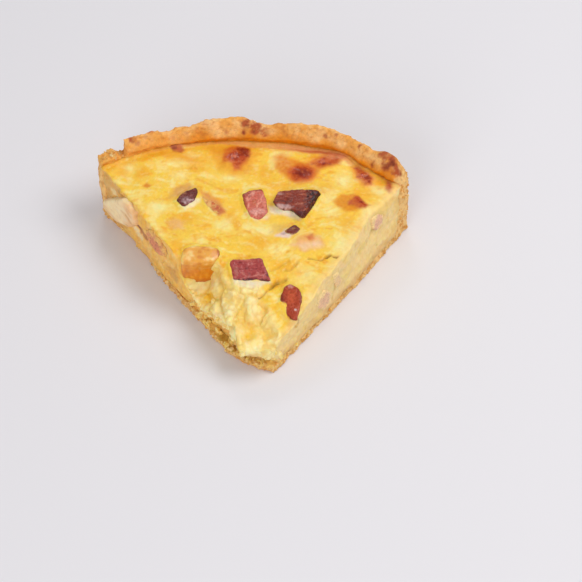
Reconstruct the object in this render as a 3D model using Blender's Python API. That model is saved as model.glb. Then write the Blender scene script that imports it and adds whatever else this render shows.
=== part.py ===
"""Slice of quiche lorraine: a shortcrust shell, the set egg filling, and the pieces of ham and
the two pale chunks that show in its skin and in its two cut faces.

Lengths are in metres and angles in degrees. The slice lies flat on z = 0, with its blunt tip
toward -Y and its rim toward +Y. Radii and angles are measured about the point where the two
cuts would meet. An angle is 0 along +Y and grows toward the right cut. Piece outlines are
listed in millimetres from that same point."""

import math

import bmesh
import bpy
from mathutils import Matrix, Vector, noise

MM = 0.001
GAP = 0.0003
CUTS_MEET = Vector((0.0033, -0.0641, 0.0))

# tin that the slice was baked in: its centre lies a little left of where the cuts meet
TIN_CENTRE_X = -0.0060
TIN_RADIUS_FLOOR = 0.1132
TIN_FLARE = 0.20

# crust
BASE_THICKNESS = 0.0036
BASE_LEFT_CUT = ((22, -34.8), (40, -35.7), (62, -35.7), (78, -34.9), (92, -34.8), (102, -35.3), (117, -36.0))
BASE_RIGHT_CUT = ((20, 36.4), (80, 36.3), (98, 35.8), (112, 35.2))
BASE_TIP_RADIUS = ((-36, 0.0250), (-34, 0.0221), (-22, 0.0144), (4, 0.0104), (37, 0.0112))
RIM_FOOT = 0.0290
CUT_LEAN_TOP = 0.0270
RIM_LEAN = 360.0
RIM_LEVEL = 0.0340
RIM_ROUNDING = 0.0032
RIM_BULGE = 0.0012
RIM_TAPER = 0.0016
RIM_CREEP = 0.05
RIM_CREST = (
    (-36, 0.0360), (-29.4, 0.0362), (-26, 0.0352), (-23.4, 0.0364), (-20.3, 0.0342), (-17, 0.0358),
    (-15, 0.0350), (-11.7, 0.0374), (-4.3, 0.0386), (0.5, 0.0350), (4, 0.0361), (10.8, 0.0377),
    (17, 0.0371), (21.6, 0.0356), (24.5, 0.0345), (28.5, 0.0372), (31, 0.0346), (34, 0.0300),
)
WALL_THICKNESS = (
    (-36, 0.0046), (-24, 0.0046), (-18, 0.0056), (-3, 0.0066), (10.6, 0.0054), (15, 0.0046),
    (19, 0.0050), (23, 0.0076), (27, 0.0094), (36, 0.0090),
)
BREAK_START = -42.0
BREAK_ANGLE = -29.4
BREAK_RADIUS = 0.100
BREAK_LENGTH = 0.035
BREAK_TOP = 0.045
BREAK_RELIEF = 0.0006
BREAK_WANDER = 0.25
BREAK_LEDGE = (
    (-40, 0.0285), (-35.2, 0.0296), (-33.6, 0.0312), (-32.8, 0.0310), (-32.2, 0.0334),
    (-31.6, 0.0292), (-30.2, 0.0280), (-28, 0.0280),
)
CRUST_RELIEF = 0.0005
CRUST_GRAIN = 0.0070
CUT_RELIEF = 0.0007
CUT_GRAIN = 0.0060
CUT_FINE_GRAIN = 0.0028

# filling
SKIN_LEVEL = 0.0275
SKIN_DROP = 0.0135
SKIN_DROP_REACH = 0.038
SKIN_DROP_POWER = 2.6
SKIN_RELIEF = 0.0004
SKIN_GRAIN = 0.0090
CRAG_RELIEF = 0.0016
CRAG_GRAIN = 0.0052
CRAG_FINE_GRAIN = 0.0026
CRAG_REACH = 0.046
FILLING_FLOOR = BASE_THICKNESS + GAP
TIP_RADIUS = 0.0110
LEFT_SIDE = -35.3
RIGHT_SIDE = 34.0
TIP_FACE = 0.0092
TIP_SET_BACK = 0.0028
TIP_BROW_START = 0.25
TIP_BROW_RISE = 0.35
LEFT_CUT_TOP = (
    (12, -41.0), (15, -36.0), (19.5, -27.5), (23.5, -31.0), (28, -30.0), (34, -33.5),
    (40, -35.2), (60, -35.4), (117, -35.2),
)
LEFT_CUT_FLOOR = ((12, -20.0), (20, -27.0), (30, -32.0), (45, -34.9), (60, -35.6), (117, -35.8))
RIGHT_CUT_TOP = (
    (20, 35.0), (36, 35.5), (61, 35.2), (73, 33.9), (86, 32.6), (95, 33.6), (104, 34.0), (112, 33.0),
)

# swellings and hollows of the skin: place in millimetres, reach and lift in millimetres
SWELLS = (
    (-11, 103, 5.5, 1.3), (-14, 98, 4.0, 0.7), (16, 95, 5.0, 1.6), (10, 100, 5.0, 0.8),
    (28, 102, 5.5, 1.1), (35, 104, 4.0, 0.9), (44.5, 93, 4.5, 1.1), (38, 78, 5.0, 1.0),
    (43, 77, 3.5, 0.8), (54, 87, 3.5, 0.9), (20, 58, 5.5, 0.9), (-48, 86, 1.8, -0.5),
    (-36, 109, 2.6, 0.8), (-20, 27, 6.0, -6.0), (-14, 33, 4.0, -1.2), (-9, 24, 5.0, 2.4),
    (-3, 19, 4.5, -1.4), (4, 26, 7.0, 1.2), (-6, 31, 5.0, 1.2), (-36, 45, 4.0, -1.8),
    (8, 14, 4.0, -1.2), (-57, 93, 6.0, -0.9), (-40, 62, 9.0, -0.7), (2, 56, 9.0, 0.6),
)
# custard fallen away in front of the golden chunk: middle, half width and half length, depth
FALLEN = (-29.5, 37.5, 12.8, 10.0, 12.0)
CRACK_WIDTH = 0.9
CRACK_DEPTH = 0.0013
CRACKS = (
    ((-0.2, 31.4), (2.6, 33.9), (5.4, 36.3), (7.4, 37.5), (10.6, 39.1)),
    ((20.0, 48.3), (24.9, 47.7), (27.3, 49.1), (28.6, 50.6), (31.9, 49.1)),
    ((10.6, 43.5), (12.6, 43.4), (14.2, 45.2), (15.5, 47.0)),
)

# pieces set in the skin: outline seen from above, how proud, how deep, foot shift, edge rounding
SKIN_PIECES = {
    "lardon_left_dark": (
        ((-35.9, 77.4), (-32.8, 82.0), (-27.4, 85.0), (-26.5, 82.2), (-28.0, 77.0), (-31.6, 73.6),
         (-33.9, 74.8)), 1.3, 6.0, (0.5, -0.8), 0.9, "cured ham"),
    "lardon_left_sunk": (
        ((-25.2, 81.6), (-22.2, 78.9), (-18.3, 76.7), (-16.1, 74.0), (-17.1, 70.8), (-20.7, 72.2),
         (-23.4, 75.3)), 0.4, 4.0, (0.0, -0.4), 0.8, "cured ham"),
    "lardon_centre_pink": (
        ((-8.4, 81.6), (-4.6, 84.0), (0.6, 84.7), (2.2, 79.0), (3.2, 71.2), (-0.4, 67.3), (-4.3, 68.8),
         (-6.3, 74.3)), 1.3, 7.0, (0.3, -0.5), 1.0, "pale ham"),
    "lardon_large_dark": (
        ((4.5, 76.1), (7.2, 82.3), (16.4, 83.7), (24.4, 83.2), (22.0, 78.4), (19.5, 73.2), (16.8, 67.9),
         (12.0, 72.6), (7.5, 72.8)), 2.9, 9.0, (5.4, -1.0), 0.9, "cured ham"),
    "lardon_small_dark": (
        ((9.9, 61.6), (12.0, 64.3), (14.5, 65.9), (17.0, 63.3), (15.7, 60.6), (12.8, 60.0)),
        0.9, 5.0, (-1.0, -0.6), 0.8, "cured ham"),
    "lardon_front_square": (
        ((-12.8, 45.4), (-11.2, 46.9), (1.0, 48.2), (2.6, 44.2), (5.1, 38.5), (-3.7, 38.3),
         (-10.6, 38.3)), 1.4, 7.0, (0.2, -0.9), 0.9, "cured ham"),
    "lardon_front_drop": (
        ((10.3, 36.1), (13.1, 36.9), (16.4, 34.9), (18.0, 31.0), (16.9, 25.7), (15.9, 21.4), (13.9, 22.0),
         (10.4, 25.0), (8.4, 28.4), (9.0, 32.4)), 1.5, 6.0, (0.2, -0.6), 1.2, "cured ham"),
    "golden_chunk": (
        ((-31.8, 51.0), (-27.4, 53.2), (-21.7, 53.0), (-17.6, 52.8), (-15.8, 50.4), (-16.4, 47.4),
         (-19.0, 45.0), (-25.5, 44.0), (-32.2, 44.4)), 1.4, 14.5, (0.0, 0.4), 1.6, "golden chunk"),
}

# pieces set in a cut face: outline as (radius, height), how proud, how deep, edge rounding
LEFT_PIECES = {
    "pale_chunk": (
        ((114.4, 6.6), (114.0, 11.6), (106.5, 18.8), (98.4, 26.0), (93.0, 26.4), (89.4, 24.0),
         (87.6, 19.4), (94.0, 12.0), (104.5, 6.4)), 2.6, 6.0, 1.4, "pale chunk"),
    "ham_left_cut": (
        ((82.6, 20.6), (78.0, 25.6), (72.5, 25.4), (66.6, 23.2), (66.2, 19.5), (71.8, 14.6),
         (79.3, 13.6)), 1.2, 5.0, 1.1, "pale ham"),
}
RIGHT_PIECES = {
    "ham_right_outer": (
        ((85.0, 25.0), (89.4, 25.4), (92.8, 22.4), (92.0, 17.8), (87.4, 17.0), (84.6, 20.6)),
        0.7, 4.0, 0.9, "pale ham"),
    "ham_right_middle": (
        ((51.4, 23.0), (55.6, 22.2), (58.8, 14.0), (54.6, 12.2)), 0.6, 4.0, 0.8, "pale ham"),
    "ham_right_inner": (
        ((41.0, 19.6), (46.6, 19.8), (51.6, 12.4), (50.6, 7.4), (45.2, 7.2), (40.2, 14.4)),
        0.7, 4.5, 1.0, "pale ham"),
}

# cells that each surface is divided into
BASE_CELLS = 30
WALL_CELLS_THROUGH = 3
WALL_ROWS_BELOW = 4
WALL_ROWS_ABOVE = 3
WALL_ROWS = WALL_ROWS_BELOW + WALL_ROWS_ABOVE
RIM_RISE_SHARE = WALL_ROWS_BELOW / WALL_ROWS
CRUST_STEPS_ACROSS = 46
BREAK_CELLS = (14, 6, 3)
SKIN_CELLS = (40, 38, 5)

COLOURS = {
    "golden pastry": ((0.79, 0.42, 0.12, 1), 0.75),
    "egg custard": ((0.93, 0.63, 0.13, 1), 0.45),
    "cured ham": ((0.30, 0.06, 0.06, 1), 0.40),
    "pale ham": ((0.72, 0.32, 0.27, 1), 0.50),
    "golden chunk": ((0.80, 0.40, 0.06, 1), 0.40),
    "pale chunk": ((0.84, 0.68, 0.42, 1), 0.60),
}


def along(table, at):
    """Value at a place in a table of (place, value) pairs, straight between neighbours."""
    for (low_at, low), (high_at, high) in zip(table, table[1:]):
        if at <= high_at:
            share = max(0.0, (at - low_at) / (high_at - low_at))
            return low + (high - low) * share
    return table[-1][1]


def grain(place, size, seed):
    """Smooth unevenness between -1 and 1 with waves of about this size."""
    return noise.noise(place / size + Vector((seed, 2.3 * seed, 5.1 * seed)))


def polar(radius, angle, z):
    turn = math.radians(angle)
    return Vector((radius * math.sin(turn), radius * math.cos(turn), z))


def tin_radius(angle, z):
    """Radius of the crust's outside at an angle and a height."""
    turn = math.radians(angle)
    reach = TIN_RADIUS_FLOOR + TIN_FLARE * z
    across = TIN_CENTRE_X * math.cos(turn)
    return TIN_CENTRE_X * math.sin(turn) + math.sqrt(reach * reach - across * across)


def wall_radius(angle, z):
    """Radius of the crust's inside, which the filling leans on."""
    return tin_radius(angle, z) - along(WALL_THICKNESS, angle)


def left_cut(radius, z):
    """The left cut is near upright, and its foot is worn back in places."""
    foot = along(BASE_LEFT_CUT, radius / MM)
    return foot + (LEFT_SIDE - foot) * min(z / CUT_LEAN_TOP, 1.0)


def right_cut(radius, z):
    """The right cut leans outward toward the plate, and its upper edge is uneven."""
    top = along(RIGHT_CUT_TOP, radius / MM)
    foot = along(BASE_RIGHT_CUT, radius / MM)
    angle = foot + (top - foot) * min(z / CUT_LEAN_TOP, 1.0)
    return angle - RIM_LEAN * max(z - CUT_LEAN_TOP, 0.0)


def along_cut(share, side, z):
    """Radius at a share of the way along a cut, from the tip (0) to the wall (1)."""
    return TIP_RADIUS + (wall_radius(side, z) - TIP_RADIUS) * share


def cut_turn(radius, z, seed):
    """Unevenness of a cut face, as a turn about the point where the cuts meet."""
    bumps = grain(Vector((radius, z * 1.4, 0.0)), CUT_GRAIN, seed)
    fine = grain(Vector((radius, z * 1.4, 0.0)), CUT_FINE_GRAIN, seed + 3)
    return math.degrees(CUT_RELIEF * (bumps + 0.5 * fine) / radius)


def crack_depth(x, y):
    """Depth of the cracks in the skin at a place in millimetres."""
    nearest = CRACK_WIDTH * 3
    for line in CRACKS:
        for (ax, ay), (bx, by) in zip(line, line[1:]):
            length = (bx - ax) ** 2 + (by - ay) ** 2
            share = min(max(((x - ax) * (bx - ax) + (y - ay) * (by - ay)) / length, 0.0), 1.0)
            gap = math.hypot(x - ax - share * (bx - ax), y - ay - share * (by - ay))
            nearest = min(nearest, gap)
    return CRACK_DEPTH * math.exp(-((nearest / CRACK_WIDTH) ** 2))


def settled_height(x, y):
    """Height of the filling as it set: level near the rim, falling toward the tip."""
    near = math.exp(-((math.hypot(x, y) / SKIN_DROP_REACH) ** SKIN_DROP_POWER))
    return SKIN_LEVEL - SKIN_DROP * near


def skin_height(x, y):
    """Height of the filling's skin, with its swellings, hollows, cracks and crumbled tip."""
    radius = math.hypot(x, y)
    z = settled_height(x, y)
    for sx, sy, reach, lift in SWELLS:
        away = ((x / MM - sx) ** 2 + (y / MM - sy) ** 2) / reach**2
        z += lift * MM * math.exp(-away)
    fallen_x, fallen_y, half_width, half_length, depth = FALLEN
    away = ((x / MM - fallen_x) / half_width) ** 2 + ((y / MM - fallen_y) / half_length) ** 2
    z -= depth * MM * math.exp(-(away**3))
    place = Vector((x, y, 0.0))
    z += SKIN_RELIEF * grain(place, SKIN_GRAIN, 4)
    crumbled = math.exp(-((radius / CRAG_REACH) ** 4))
    crags = grain(place, CRAG_GRAIN, 8) + 0.4 * grain(place, CRAG_FINE_GRAIN, 9)
    z += CRAG_RELIEF * crumbled * crags
    return z - crack_depth(x / MM, y / MM)


def blank(sheets, steps):
    """A closed block in plain unit coordinates: flat sheets of cells drawn out in equal steps."""
    bm = bmesh.new()
    for (x0, x1, columns), (y0, y1, rows) in sheets:
        middle = Matrix.Translation(((x0 + x1) / 2, (y0 + y1) / 2, 0.0))
        stretch = Matrix.Diagonal((x1 - x0, y1 - y0, 1.0, 1.0))
        bmesh.ops.create_grid(bm, x_segments=columns, y_segments=rows, size=0.5, matrix=middle @ stretch)
    bmesh.ops.remove_doubles(bm, verts=bm.verts, dist=1e-4)
    sheet = bm.verts[:] + bm.edges[:] + bm.faces[:]
    for _ in range(steps):
        sheet = bmesh.ops.extrude_face_region(bm, geom=sheet)["geom"]
        verts = [item for item in sheet if isinstance(item, bmesh.types.BMVert)]
        bmesh.ops.translate(bm, verts=verts, vec=(0.0, 0.0, 1.0 / steps))
    return bm


def join_flat(bm, axis, level):
    """Makes one face of the cells that lie at a level along an axis of the blank."""
    flat = [face for face in bm.faces if all(abs(v.co[axis] - level) < 1e-4 for v in face.verts)]
    bmesh.ops.dissolve_faces(bm, faces=flat)


def shape(bm, place):
    """Moves every corner of a blank to its place on the slice."""
    for vert in bm.verts:
        vert.co = place(*vert.co) + CUTS_MEET


def add_object(name, bm, collection, material=None):
    bmesh.ops.recalc_face_normals(bm, faces=bm.faces)
    mesh = bpy.data.meshes.new(name)
    bm.to_mesh(mesh)
    bm.free()
    if material:
        mesh.materials.append(material)
    made = bpy.data.objects.new(name, mesh)
    collection.objects.link(made)
    return made


def crust_point(x, t, u):
    """Crust: x runs from the tip (0) to the inside (1) and outside (2) of the wall, t from the
    plate (0) over the base's top (1) to the rim's crest (2), u from the left cut to the right."""
    flank = RIM_RISE_SHARE
    if t <= 1:
        z = BASE_THICKNESS * t
    elif t - 1 <= flank:
        z = BASE_THICKNESS + (RIM_FOOT - BASE_THICKNESS) * (t - 1) / flank
    else:
        z = RIM_FOOT + (RIM_LEVEL - RIM_FOOT) * (t - 1 - flank) / (1 - flank)
    share = min(x, 1.0 + RIM_CREEP * (x - 1.0))
    left_radius = along_cut(share, LEFT_SIDE, z)
    right_radius = along_cut(share, RIGHT_SIDE, z)
    left = left_cut(left_radius, z) + cut_turn(left_radius, z, 11)
    right = right_cut(right_radius, z) + cut_turn(right_radius, z, 17)
    angle = left + (right - left) * u
    if x <= 1 and t <= 1:
        tip = along(BASE_TIP_RADIUS, angle)
        inner = wall_radius(angle, BASE_THICKNESS)
        return polar(tip + (inner - tip) * x, angle, z)
    across = x - 1
    rise = max(0.0, (t - 1 - flank) / (1 - flank))
    if rise > 0:
        crest = along(RIM_CREST, angle) - RIM_ROUNDING * (2 * across - 1) ** 2
        z = RIM_FOOT + (crest - RIM_FOOT) * rise
    inner = wall_radius(angle, max(z, BASE_THICKNESS))
    inner -= RIM_BULGE * math.sin(math.pi * min(rise * 1.5, 1.0))
    inner += RIM_TAPER * max(rise - 0.5, 0.0)
    outer = tin_radius(angle, z) - RIM_TAPER * rise**3
    unevenness = grain(polar(TIN_RADIUS_FLOOR, angle, z), CRUST_GRAIN, 21)
    outer += CRUST_RELIEF * unevenness * min(z / BASE_THICKNESS, 1.0)
    return polar(inner + (outer - inner) * across, angle, z)


def filling_point(u, v, w):
    """Filling: u from the left cut to the right, v from the tip to the wall, w from floor to skin."""
    height = FILLING_FLOOR + (SKIN_LEVEL - FILLING_FLOOR) * w
    left_radius = along_cut(v, LEFT_SIDE, height)
    right_radius = along_cut(v, RIGHT_SIDE, height)
    floor_left = along(LEFT_CUT_FLOOR, left_radius / MM)
    left = floor_left + (along(LEFT_CUT_TOP, left_radius / MM) - floor_left) * w
    left += cut_turn(left_radius, height, 5) * min(left_radius / 0.03, 1.0)
    right = right_cut(right_radius, height) + cut_turn(right_radius, height, 6)
    angle = left + (right - left) * u
    floor_tip = along(BASE_TIP_RADIUS, angle) + TIP_SET_BACK
    top_tip = TIP_FACE / math.cos(math.radians(angle))
    brow = min(max((w - TIP_BROW_START) / TIP_BROW_RISE, 0.0), 1.0)
    tip = floor_tip + (top_tip - floor_tip) * brow
    for _ in range(2):
        wall = wall_radius(angle, height) - GAP
        radius = tip + (wall - tip) * v
        place = polar(radius, angle, 0.0)
        height = FILLING_FLOOR + (skin_height(place.x, place.y) - FILLING_FLOOR) * w
    place.z = height
    return place


def rounded_block(top, foot, rounding):
    """A block between two outlines with the same number of corners, its edges rounded."""
    bm = bmesh.new()
    face = bm.faces.new([bm.verts.new(corner) for corner in top])
    under = bmesh.ops.extrude_face_region(bm, geom=[face])["geom"]
    lower = [item for item in under if isinstance(item, bmesh.types.BMVert)]
    for vert in lower:
        index = min(range(len(top)), key=lambda i: (Vector(top[i]) - vert.co).length)
        vert.co = foot[index]
    bmesh.ops.recalc_face_normals(bm, faces=bm.faces)
    bmesh.ops.bevel(
        bm, geom=bm.edges[:] + bm.verts[:], offset=rounding, offset_type="OFFSET", segments=2,
        profile=0.55, affect="EDGES", clamp_overlap=True,
    )
    bmesh.ops.triangulate(bm, faces=[face for face in bm.faces if len(face.verts) > 4])
    return bm


def skin_piece(outline, proud, depth, shift, rounding):
    """A piece that sits in the skin, its top a little above it."""
    top = []
    foot = []
    for x, y in outline:
        z = settled_height(x * MM, y * MM) + proud * MM
        top.append(Vector((x * MM, y * MM, z)) + CUTS_MEET)
        foot.append(Vector(((x + shift[0]) * MM, (y + shift[1]) * MM, z - depth * MM)) + CUTS_MEET)
    return rounded_block(top, foot, rounding * MM)


def cut_piece(outline, angle_at, outward, proud, depth, rounding):
    """A piece that sits in a cut face, standing a little out of it."""
    front = []
    back = []
    for radius, height in outline:
        angle = angle_at(radius * MM, height * MM)
        turn = math.radians(angle)
        away = Vector((math.cos(turn), -math.sin(turn), 0.0)) * outward
        on_face = polar(radius * MM, angle, height * MM) + CUTS_MEET
        front.append(on_face + away * proud * MM)
        back.append(on_face - away * depth * MM)
    return rounded_block(front, back, rounding * MM)


def add_piece(name, bm, material):
    """Adds a piece and, around it, the slightly larger hollow that it lies in."""
    made = add_object(name, bm, slice_parts, material)
    hollow = bmesh.new()
    hollow.from_mesh(made.data)
    hollow.normal_update()
    grown = [vert.co + vert.normal * vert.calc_shell_factor() * GAP for vert in hollow.verts]
    for vert, co in zip(hollow.verts, grown):
        vert.co = co
    cutter = add_object(name + "_hollow", hollow, hollows)
    cutter.hide_render = True
    cutter.display_type = "WIRE"
    return cutter


def cut_away(target, cutter):
    modifier = target.modifiers.new(cutter.name, "BOOLEAN")
    modifier.operation = "DIFFERENCE"
    modifier.solver = "EXACT"
    modifier.object = cutter


def make_material(name):
    colour, roughness = COLOURS[name]
    material = bpy.data.materials.new(name)
    material.use_nodes = True
    shader = material.node_tree.nodes["Principled BSDF"]
    shader.inputs["Base Color"].default_value = colour
    shader.inputs["Roughness"].default_value = roughness
    material.diffuse_color = colour
    return material


for old in list(bpy.data.objects):
    bpy.data.objects.remove(old, do_unlink=True)

slice_parts = bpy.data.collections.new("quiche_slice")
hollows = bpy.data.collections.new("hollows")
hollows.hide_render = True
bpy.context.scene.collection.children.link(slice_parts)
bpy.context.scene.collection.children.link(hollows)
materials = {name: make_material(name) for name in COLOURS}

# crust: an L-shaped section drawn out across the slice, its underside one flat face
crust_sheets = (
    ((0, 1, BASE_CELLS), (0, 1, 1)),
    ((1, 2, WALL_CELLS_THROUGH), (0, 1, 1)),
    ((1, 2, WALL_CELLS_THROUGH), (1, 2, WALL_ROWS)),
)
crust_blank = blank(crust_sheets, CRUST_STEPS_ACROSS)
join_flat(crust_blank, 1, 0)
join_flat(crust_blank, 1, 1)
shape(crust_blank, crust_point)
crust = add_object("pastry_shell", crust_blank, slice_parts, materials["golden pastry"])


# corner of the rim broken away at the left end, down to a ragged ledge
def broken_corner_point(x, y, z):
    angle = BREAK_START + (BREAK_ANGLE - BREAK_START) * x
    radius = BREAK_RADIUS + BREAK_LENGTH * y
    ledge = along(BREAK_LEDGE, angle)
    ledge += BREAK_RELIEF * grain(polar(radius, angle, 0.0), CRAG_GRAIN, 31)
    height = ledge + (BREAK_TOP - ledge) * z
    angle += BREAK_WANDER * x * grain(Vector((radius, height, 0.0)), CRAG_FINE_GRAIN, 33)
    return polar(radius, angle, height)


break_across, break_through, break_steps = BREAK_CELLS
corner_blank = blank((((0, 1, break_across), (0, 1, break_through)),), break_steps)
shape(corner_blank, broken_corner_point)
broken_corner = add_object("broken_corner", corner_blank, hollows)
broken_corner.hide_render = True
broken_corner.display_type = "WIRE"
cut_away(crust, broken_corner)

# filling: a wedge between the cuts, its floor one flat face
skin_across, skin_along, skin_steps = SKIN_CELLS
filling_blank = blank((((0, 1, skin_across), (0, 1, skin_along)),), skin_steps)
join_flat(filling_blank, 2, 0)
shape(filling_blank, filling_point)
filling = add_object("custard_filling", filling_blank, slice_parts, materials["egg custard"])

for name, (outline, proud, depth, shift, rounding, stuff) in SKIN_PIECES.items():
    piece = skin_piece(outline, proud, depth, shift, rounding)
    cut_away(filling, add_piece(name, piece, materials[stuff]))

for name, (outline, proud, depth, rounding, stuff) in LEFT_PIECES.items():
    piece = cut_piece(outline, left_cut, -1, proud, depth, rounding)
    pocket = add_piece(name, piece, materials[stuff])
    cut_away(filling, pocket)
    if name == "pale_chunk":
        cut_away(crust, pocket)

for name, (outline, proud, depth, rounding, stuff) in RIGHT_PIECES.items():
    piece = cut_piece(outline, right_cut, 1, proud, depth, rounding)
    cut_away(filling, add_piece(name, piece, materials[stuff]))
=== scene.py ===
import math

import bmesh
import bpy
import numpy as np
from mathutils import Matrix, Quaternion, Vector, noise
from mathutils.bvhtree import BVHTree


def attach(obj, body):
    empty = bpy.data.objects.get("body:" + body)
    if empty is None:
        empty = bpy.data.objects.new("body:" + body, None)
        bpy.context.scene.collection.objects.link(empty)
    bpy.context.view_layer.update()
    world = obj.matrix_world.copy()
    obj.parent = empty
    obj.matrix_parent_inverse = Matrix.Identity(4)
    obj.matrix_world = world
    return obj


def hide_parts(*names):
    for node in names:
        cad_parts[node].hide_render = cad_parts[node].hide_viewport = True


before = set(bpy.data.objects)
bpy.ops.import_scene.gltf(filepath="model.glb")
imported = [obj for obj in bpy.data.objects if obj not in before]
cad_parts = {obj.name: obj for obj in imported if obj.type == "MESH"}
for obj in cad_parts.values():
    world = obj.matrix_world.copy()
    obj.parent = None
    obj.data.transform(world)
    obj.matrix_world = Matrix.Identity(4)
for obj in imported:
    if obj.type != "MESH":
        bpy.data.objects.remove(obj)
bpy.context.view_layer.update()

# Pastry shell: shortcrust lined thinly into a round tin, filled and baked until its rim browns.
# The knife leaves crumbly edges at both cuts, and the rim's left corner is broken off. Places
# below are in millimetres from the point where the two cuts would meet.
MM = 0.001
CUTS_MEET = np.array((0.0033, -0.0641, 0.0))
TIN_CENTRE_X = -0.0060
TIN_RADIUS_FLOOR = 0.1132
TIN_FLARE = 0.20
# thickness of the wall at these angles across the slice
WALL_ANGLES = (-36, -24, -18, -3, 10.6, 15, 19, 23, 27, 36)
WALL_THICKNESS = (0.0046, 0.0046, 0.0056, 0.0066, 0.0054, 0.0046, 0.0050, 0.0076, 0.0094, 0.0090)
BASE_THICKNESS = 0.0036
CUT_LEAN_TOP = 0.0270
RIM_LEAN = 360.0
LEFT_CUT_FOOT = 35.8
# angle of the right cut at these distances from where the cuts meet, at its foot and at its top
BASE_RIGHT_CUT = ((20, 80, 98, 112), (36.4, 36.3, 35.8, 35.2))
RIGHT_CUT_TOP = ((20, 36, 61, 73, 86, 95, 104, 112), (35.0, 35.5, 35.2, 33.9, 32.6, 33.6, 34.0, 33.0))
PASTRY_VOXEL = 0.00060
PASTRY_RELIEF = {
    "Relief": 0.00058, "Grain": 0.0048, "Fine Relief": 0.00026, "Fine Grain": 0.0014,
    "Foot": 0.0002, "Seed": 3.0,
}
# height over which the relief sets in above a flat foot, and noise of 1/4 either way as full relief
FOOT_FADE = 0.0012
NOISE_TO_RELIEF = 4.0
# gloss of all the food: its spread, what grease adds, the roughness of fat, how far light sinks in
GLOSS_SPREAD = 0.10
GREASE_GLOSS = 0.24
FAT_ROUGHNESS = 0.18
LIGHT_REACH = (0.0020, 0.0011, 0.0005)

PASTRY_GOLD = (242, 172, 84)
PASTRY_LIGHT = (252, 200, 132)
PASTRY_BAND = (226, 132, 4)
PASTRY_CRUMB = (244, 200, 130)
PASTRY_BASE = (230, 170, 92)
PASTRY_TOAST = (172, 72, 40)
PASTRY_BURNT = (104, 34, 22)
CRAZE_BROWN = (204, 120, 52)
GOLD_BROWN = (212, 146, 68)
RESIDUE = (240, 200, 112)
# residue darkened to olive as painted shade in the recess
RESIDUE_IN_SHADE = (182, 138, 50)
MOTTLE_RED = (196, 104, 66)
LEDGE_GOLD = (244, 184, 92)
LEDGE_BROWN = (206, 118, 40)
# browned spots of the rim: place, reach across and along the slice, strength
RIM_SPOTS = (
    (-7.0, 115.6, 2.6, 1.6, 0.9), (-3.0, 114.9, 2.8, 1.9, 1.0), (0.9, 113.9, 2.0, 1.3, 0.8),
    (-7.9, 113.4, 1.0, 0.7, 1.0), (-15.6, 113.0, 1.7, 1.0, 0.55), (-28.0, 113.2, 1.2, 0.8, 0.4),
    (-48.0, 110.1, 2.4, 1.2, 0.6), (-55.5, 106.4, 3.0, 1.4, 0.75), (27.0, 110.9, 1.6, 0.8, 0.5),
    (31.6, 110.3, 1.4, 0.8, 0.45), (41.8, 105.2, 2.2, 0.8, 0.45), (47.2, 97.4, 1.4, 1.6, 0.6),
    (52.0, 99.8, 3.0, 2.4, 0.8), (54.2, 96.6, 3.6, 3.4, 1.0), (57.2, 93.6, 2.6, 2.8, 0.9),
)


def grain(places, size, seed):
    """Smooth unevenness between -1 and 1 at each place, with waves of about this size."""
    shift = Vector((seed, 2.3 * seed, 5.1 * seed))
    return np.array([noise.noise(Vector(place) + shift) for place in places / size])


def tone(colour):
    """A colour of the finished food, given as it looks in daylight, as the renderer holds it."""
    part = np.array(colour, float) / 255
    return np.where(part <= 0.04045, part / 12.92, ((part + 0.055) / 1.055) ** 2.4)


def rise(value, low, high):
    """0 below low and 1 above high, with a smooth step between."""
    share = np.clip((value - low) / (high - low), 0, 1)
    return share * share * (3 - 2 * share)


def blend(colours, amount, colour):
    """Lays a colour over the others, as thickly as the amount at each place."""
    amount = np.clip(amount, 0, 1)[:, None]
    return colours * (1 - amount) + tone(colour) * amount


def spot(flat, x, y, reach_x, reach_y):
    away = ((flat[:, 0] - x) / reach_x) ** 2 + ((flat[:, 1] - y) / reach_y) ** 2
    return np.exp(-away)


def turned(places):
    """Radius and angle of each place about the point where the cuts meet."""
    local = places - CUTS_MEET
    return np.hypot(local[:, 0], local[:, 1]), np.degrees(np.arctan2(local[:, 0], local[:, 1]))


def tin_radius(angle, z):
    turn = np.radians(angle)
    reach = TIN_RADIUS_FLOOR + TIN_FLARE * z
    return TIN_CENTRE_X * np.sin(turn) + np.sqrt(reach**2 - (TIN_CENTRE_X * np.cos(turn)) ** 2)


def wall_radius(angle, z):
    return tin_radius(angle, z) - np.interp(angle, WALL_ANGLES, WALL_THICKNESS)


def right_cut(radius, z):
    top = np.interp(radius / MM, *RIGHT_CUT_TOP)
    foot = np.interp(radius / MM, *BASE_RIGHT_CUT)
    leaned = foot + (top - foot) * np.minimum(z / CUT_LEAN_TOP, 1.0)
    return leaned - RIM_LEAN * np.maximum(z - CUT_LEAN_TOP, 0.0)


def corners(mesh):
    flat = np.empty(len(mesh.vertices) * 3)
    mesh.vertices.foreach_get("co", flat)
    return flat.reshape(-1, 3)


def facing(mesh):
    flat = np.empty(len(mesh.vertices) * 3)
    mesh.vertices.foreach_get("normal", flat)
    return flat.reshape(-1, 3)


def set_paint(mesh, colours):
    """Stores the colour of each corner for the material to read."""
    layer = mesh.color_attributes.new("paint", "FLOAT_COLOR", "POINT")
    layer.data.foreach_set("color", np.column_stack((colours, np.ones(len(colours)))).ravel())


def set_share(mesh, name, shares):
    layer = mesh.attributes.new(name, "FLOAT", "POINT")
    layer.data.foreach_set("value", shares)


def feed(tree, node, inputs):
    """Links or sets a node's inputs, each given by name or number."""
    for place, value in inputs.items():
        if isinstance(value, bpy.types.NodeSocket):
            tree.links.new(value, node.inputs[place])
        else:
            node.inputs[place].default_value = value


def node_maker(tree):
    """A function that adds a node with its inputs and settings, and gives one of its outputs."""
    def make(kind, output, inputs, **settings):
        node = tree.nodes.new(kind)
        for name, value in settings.items():
            setattr(node, name, value)
        feed(tree, node, inputs)
        return node.outputs[output]
    return make


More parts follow.
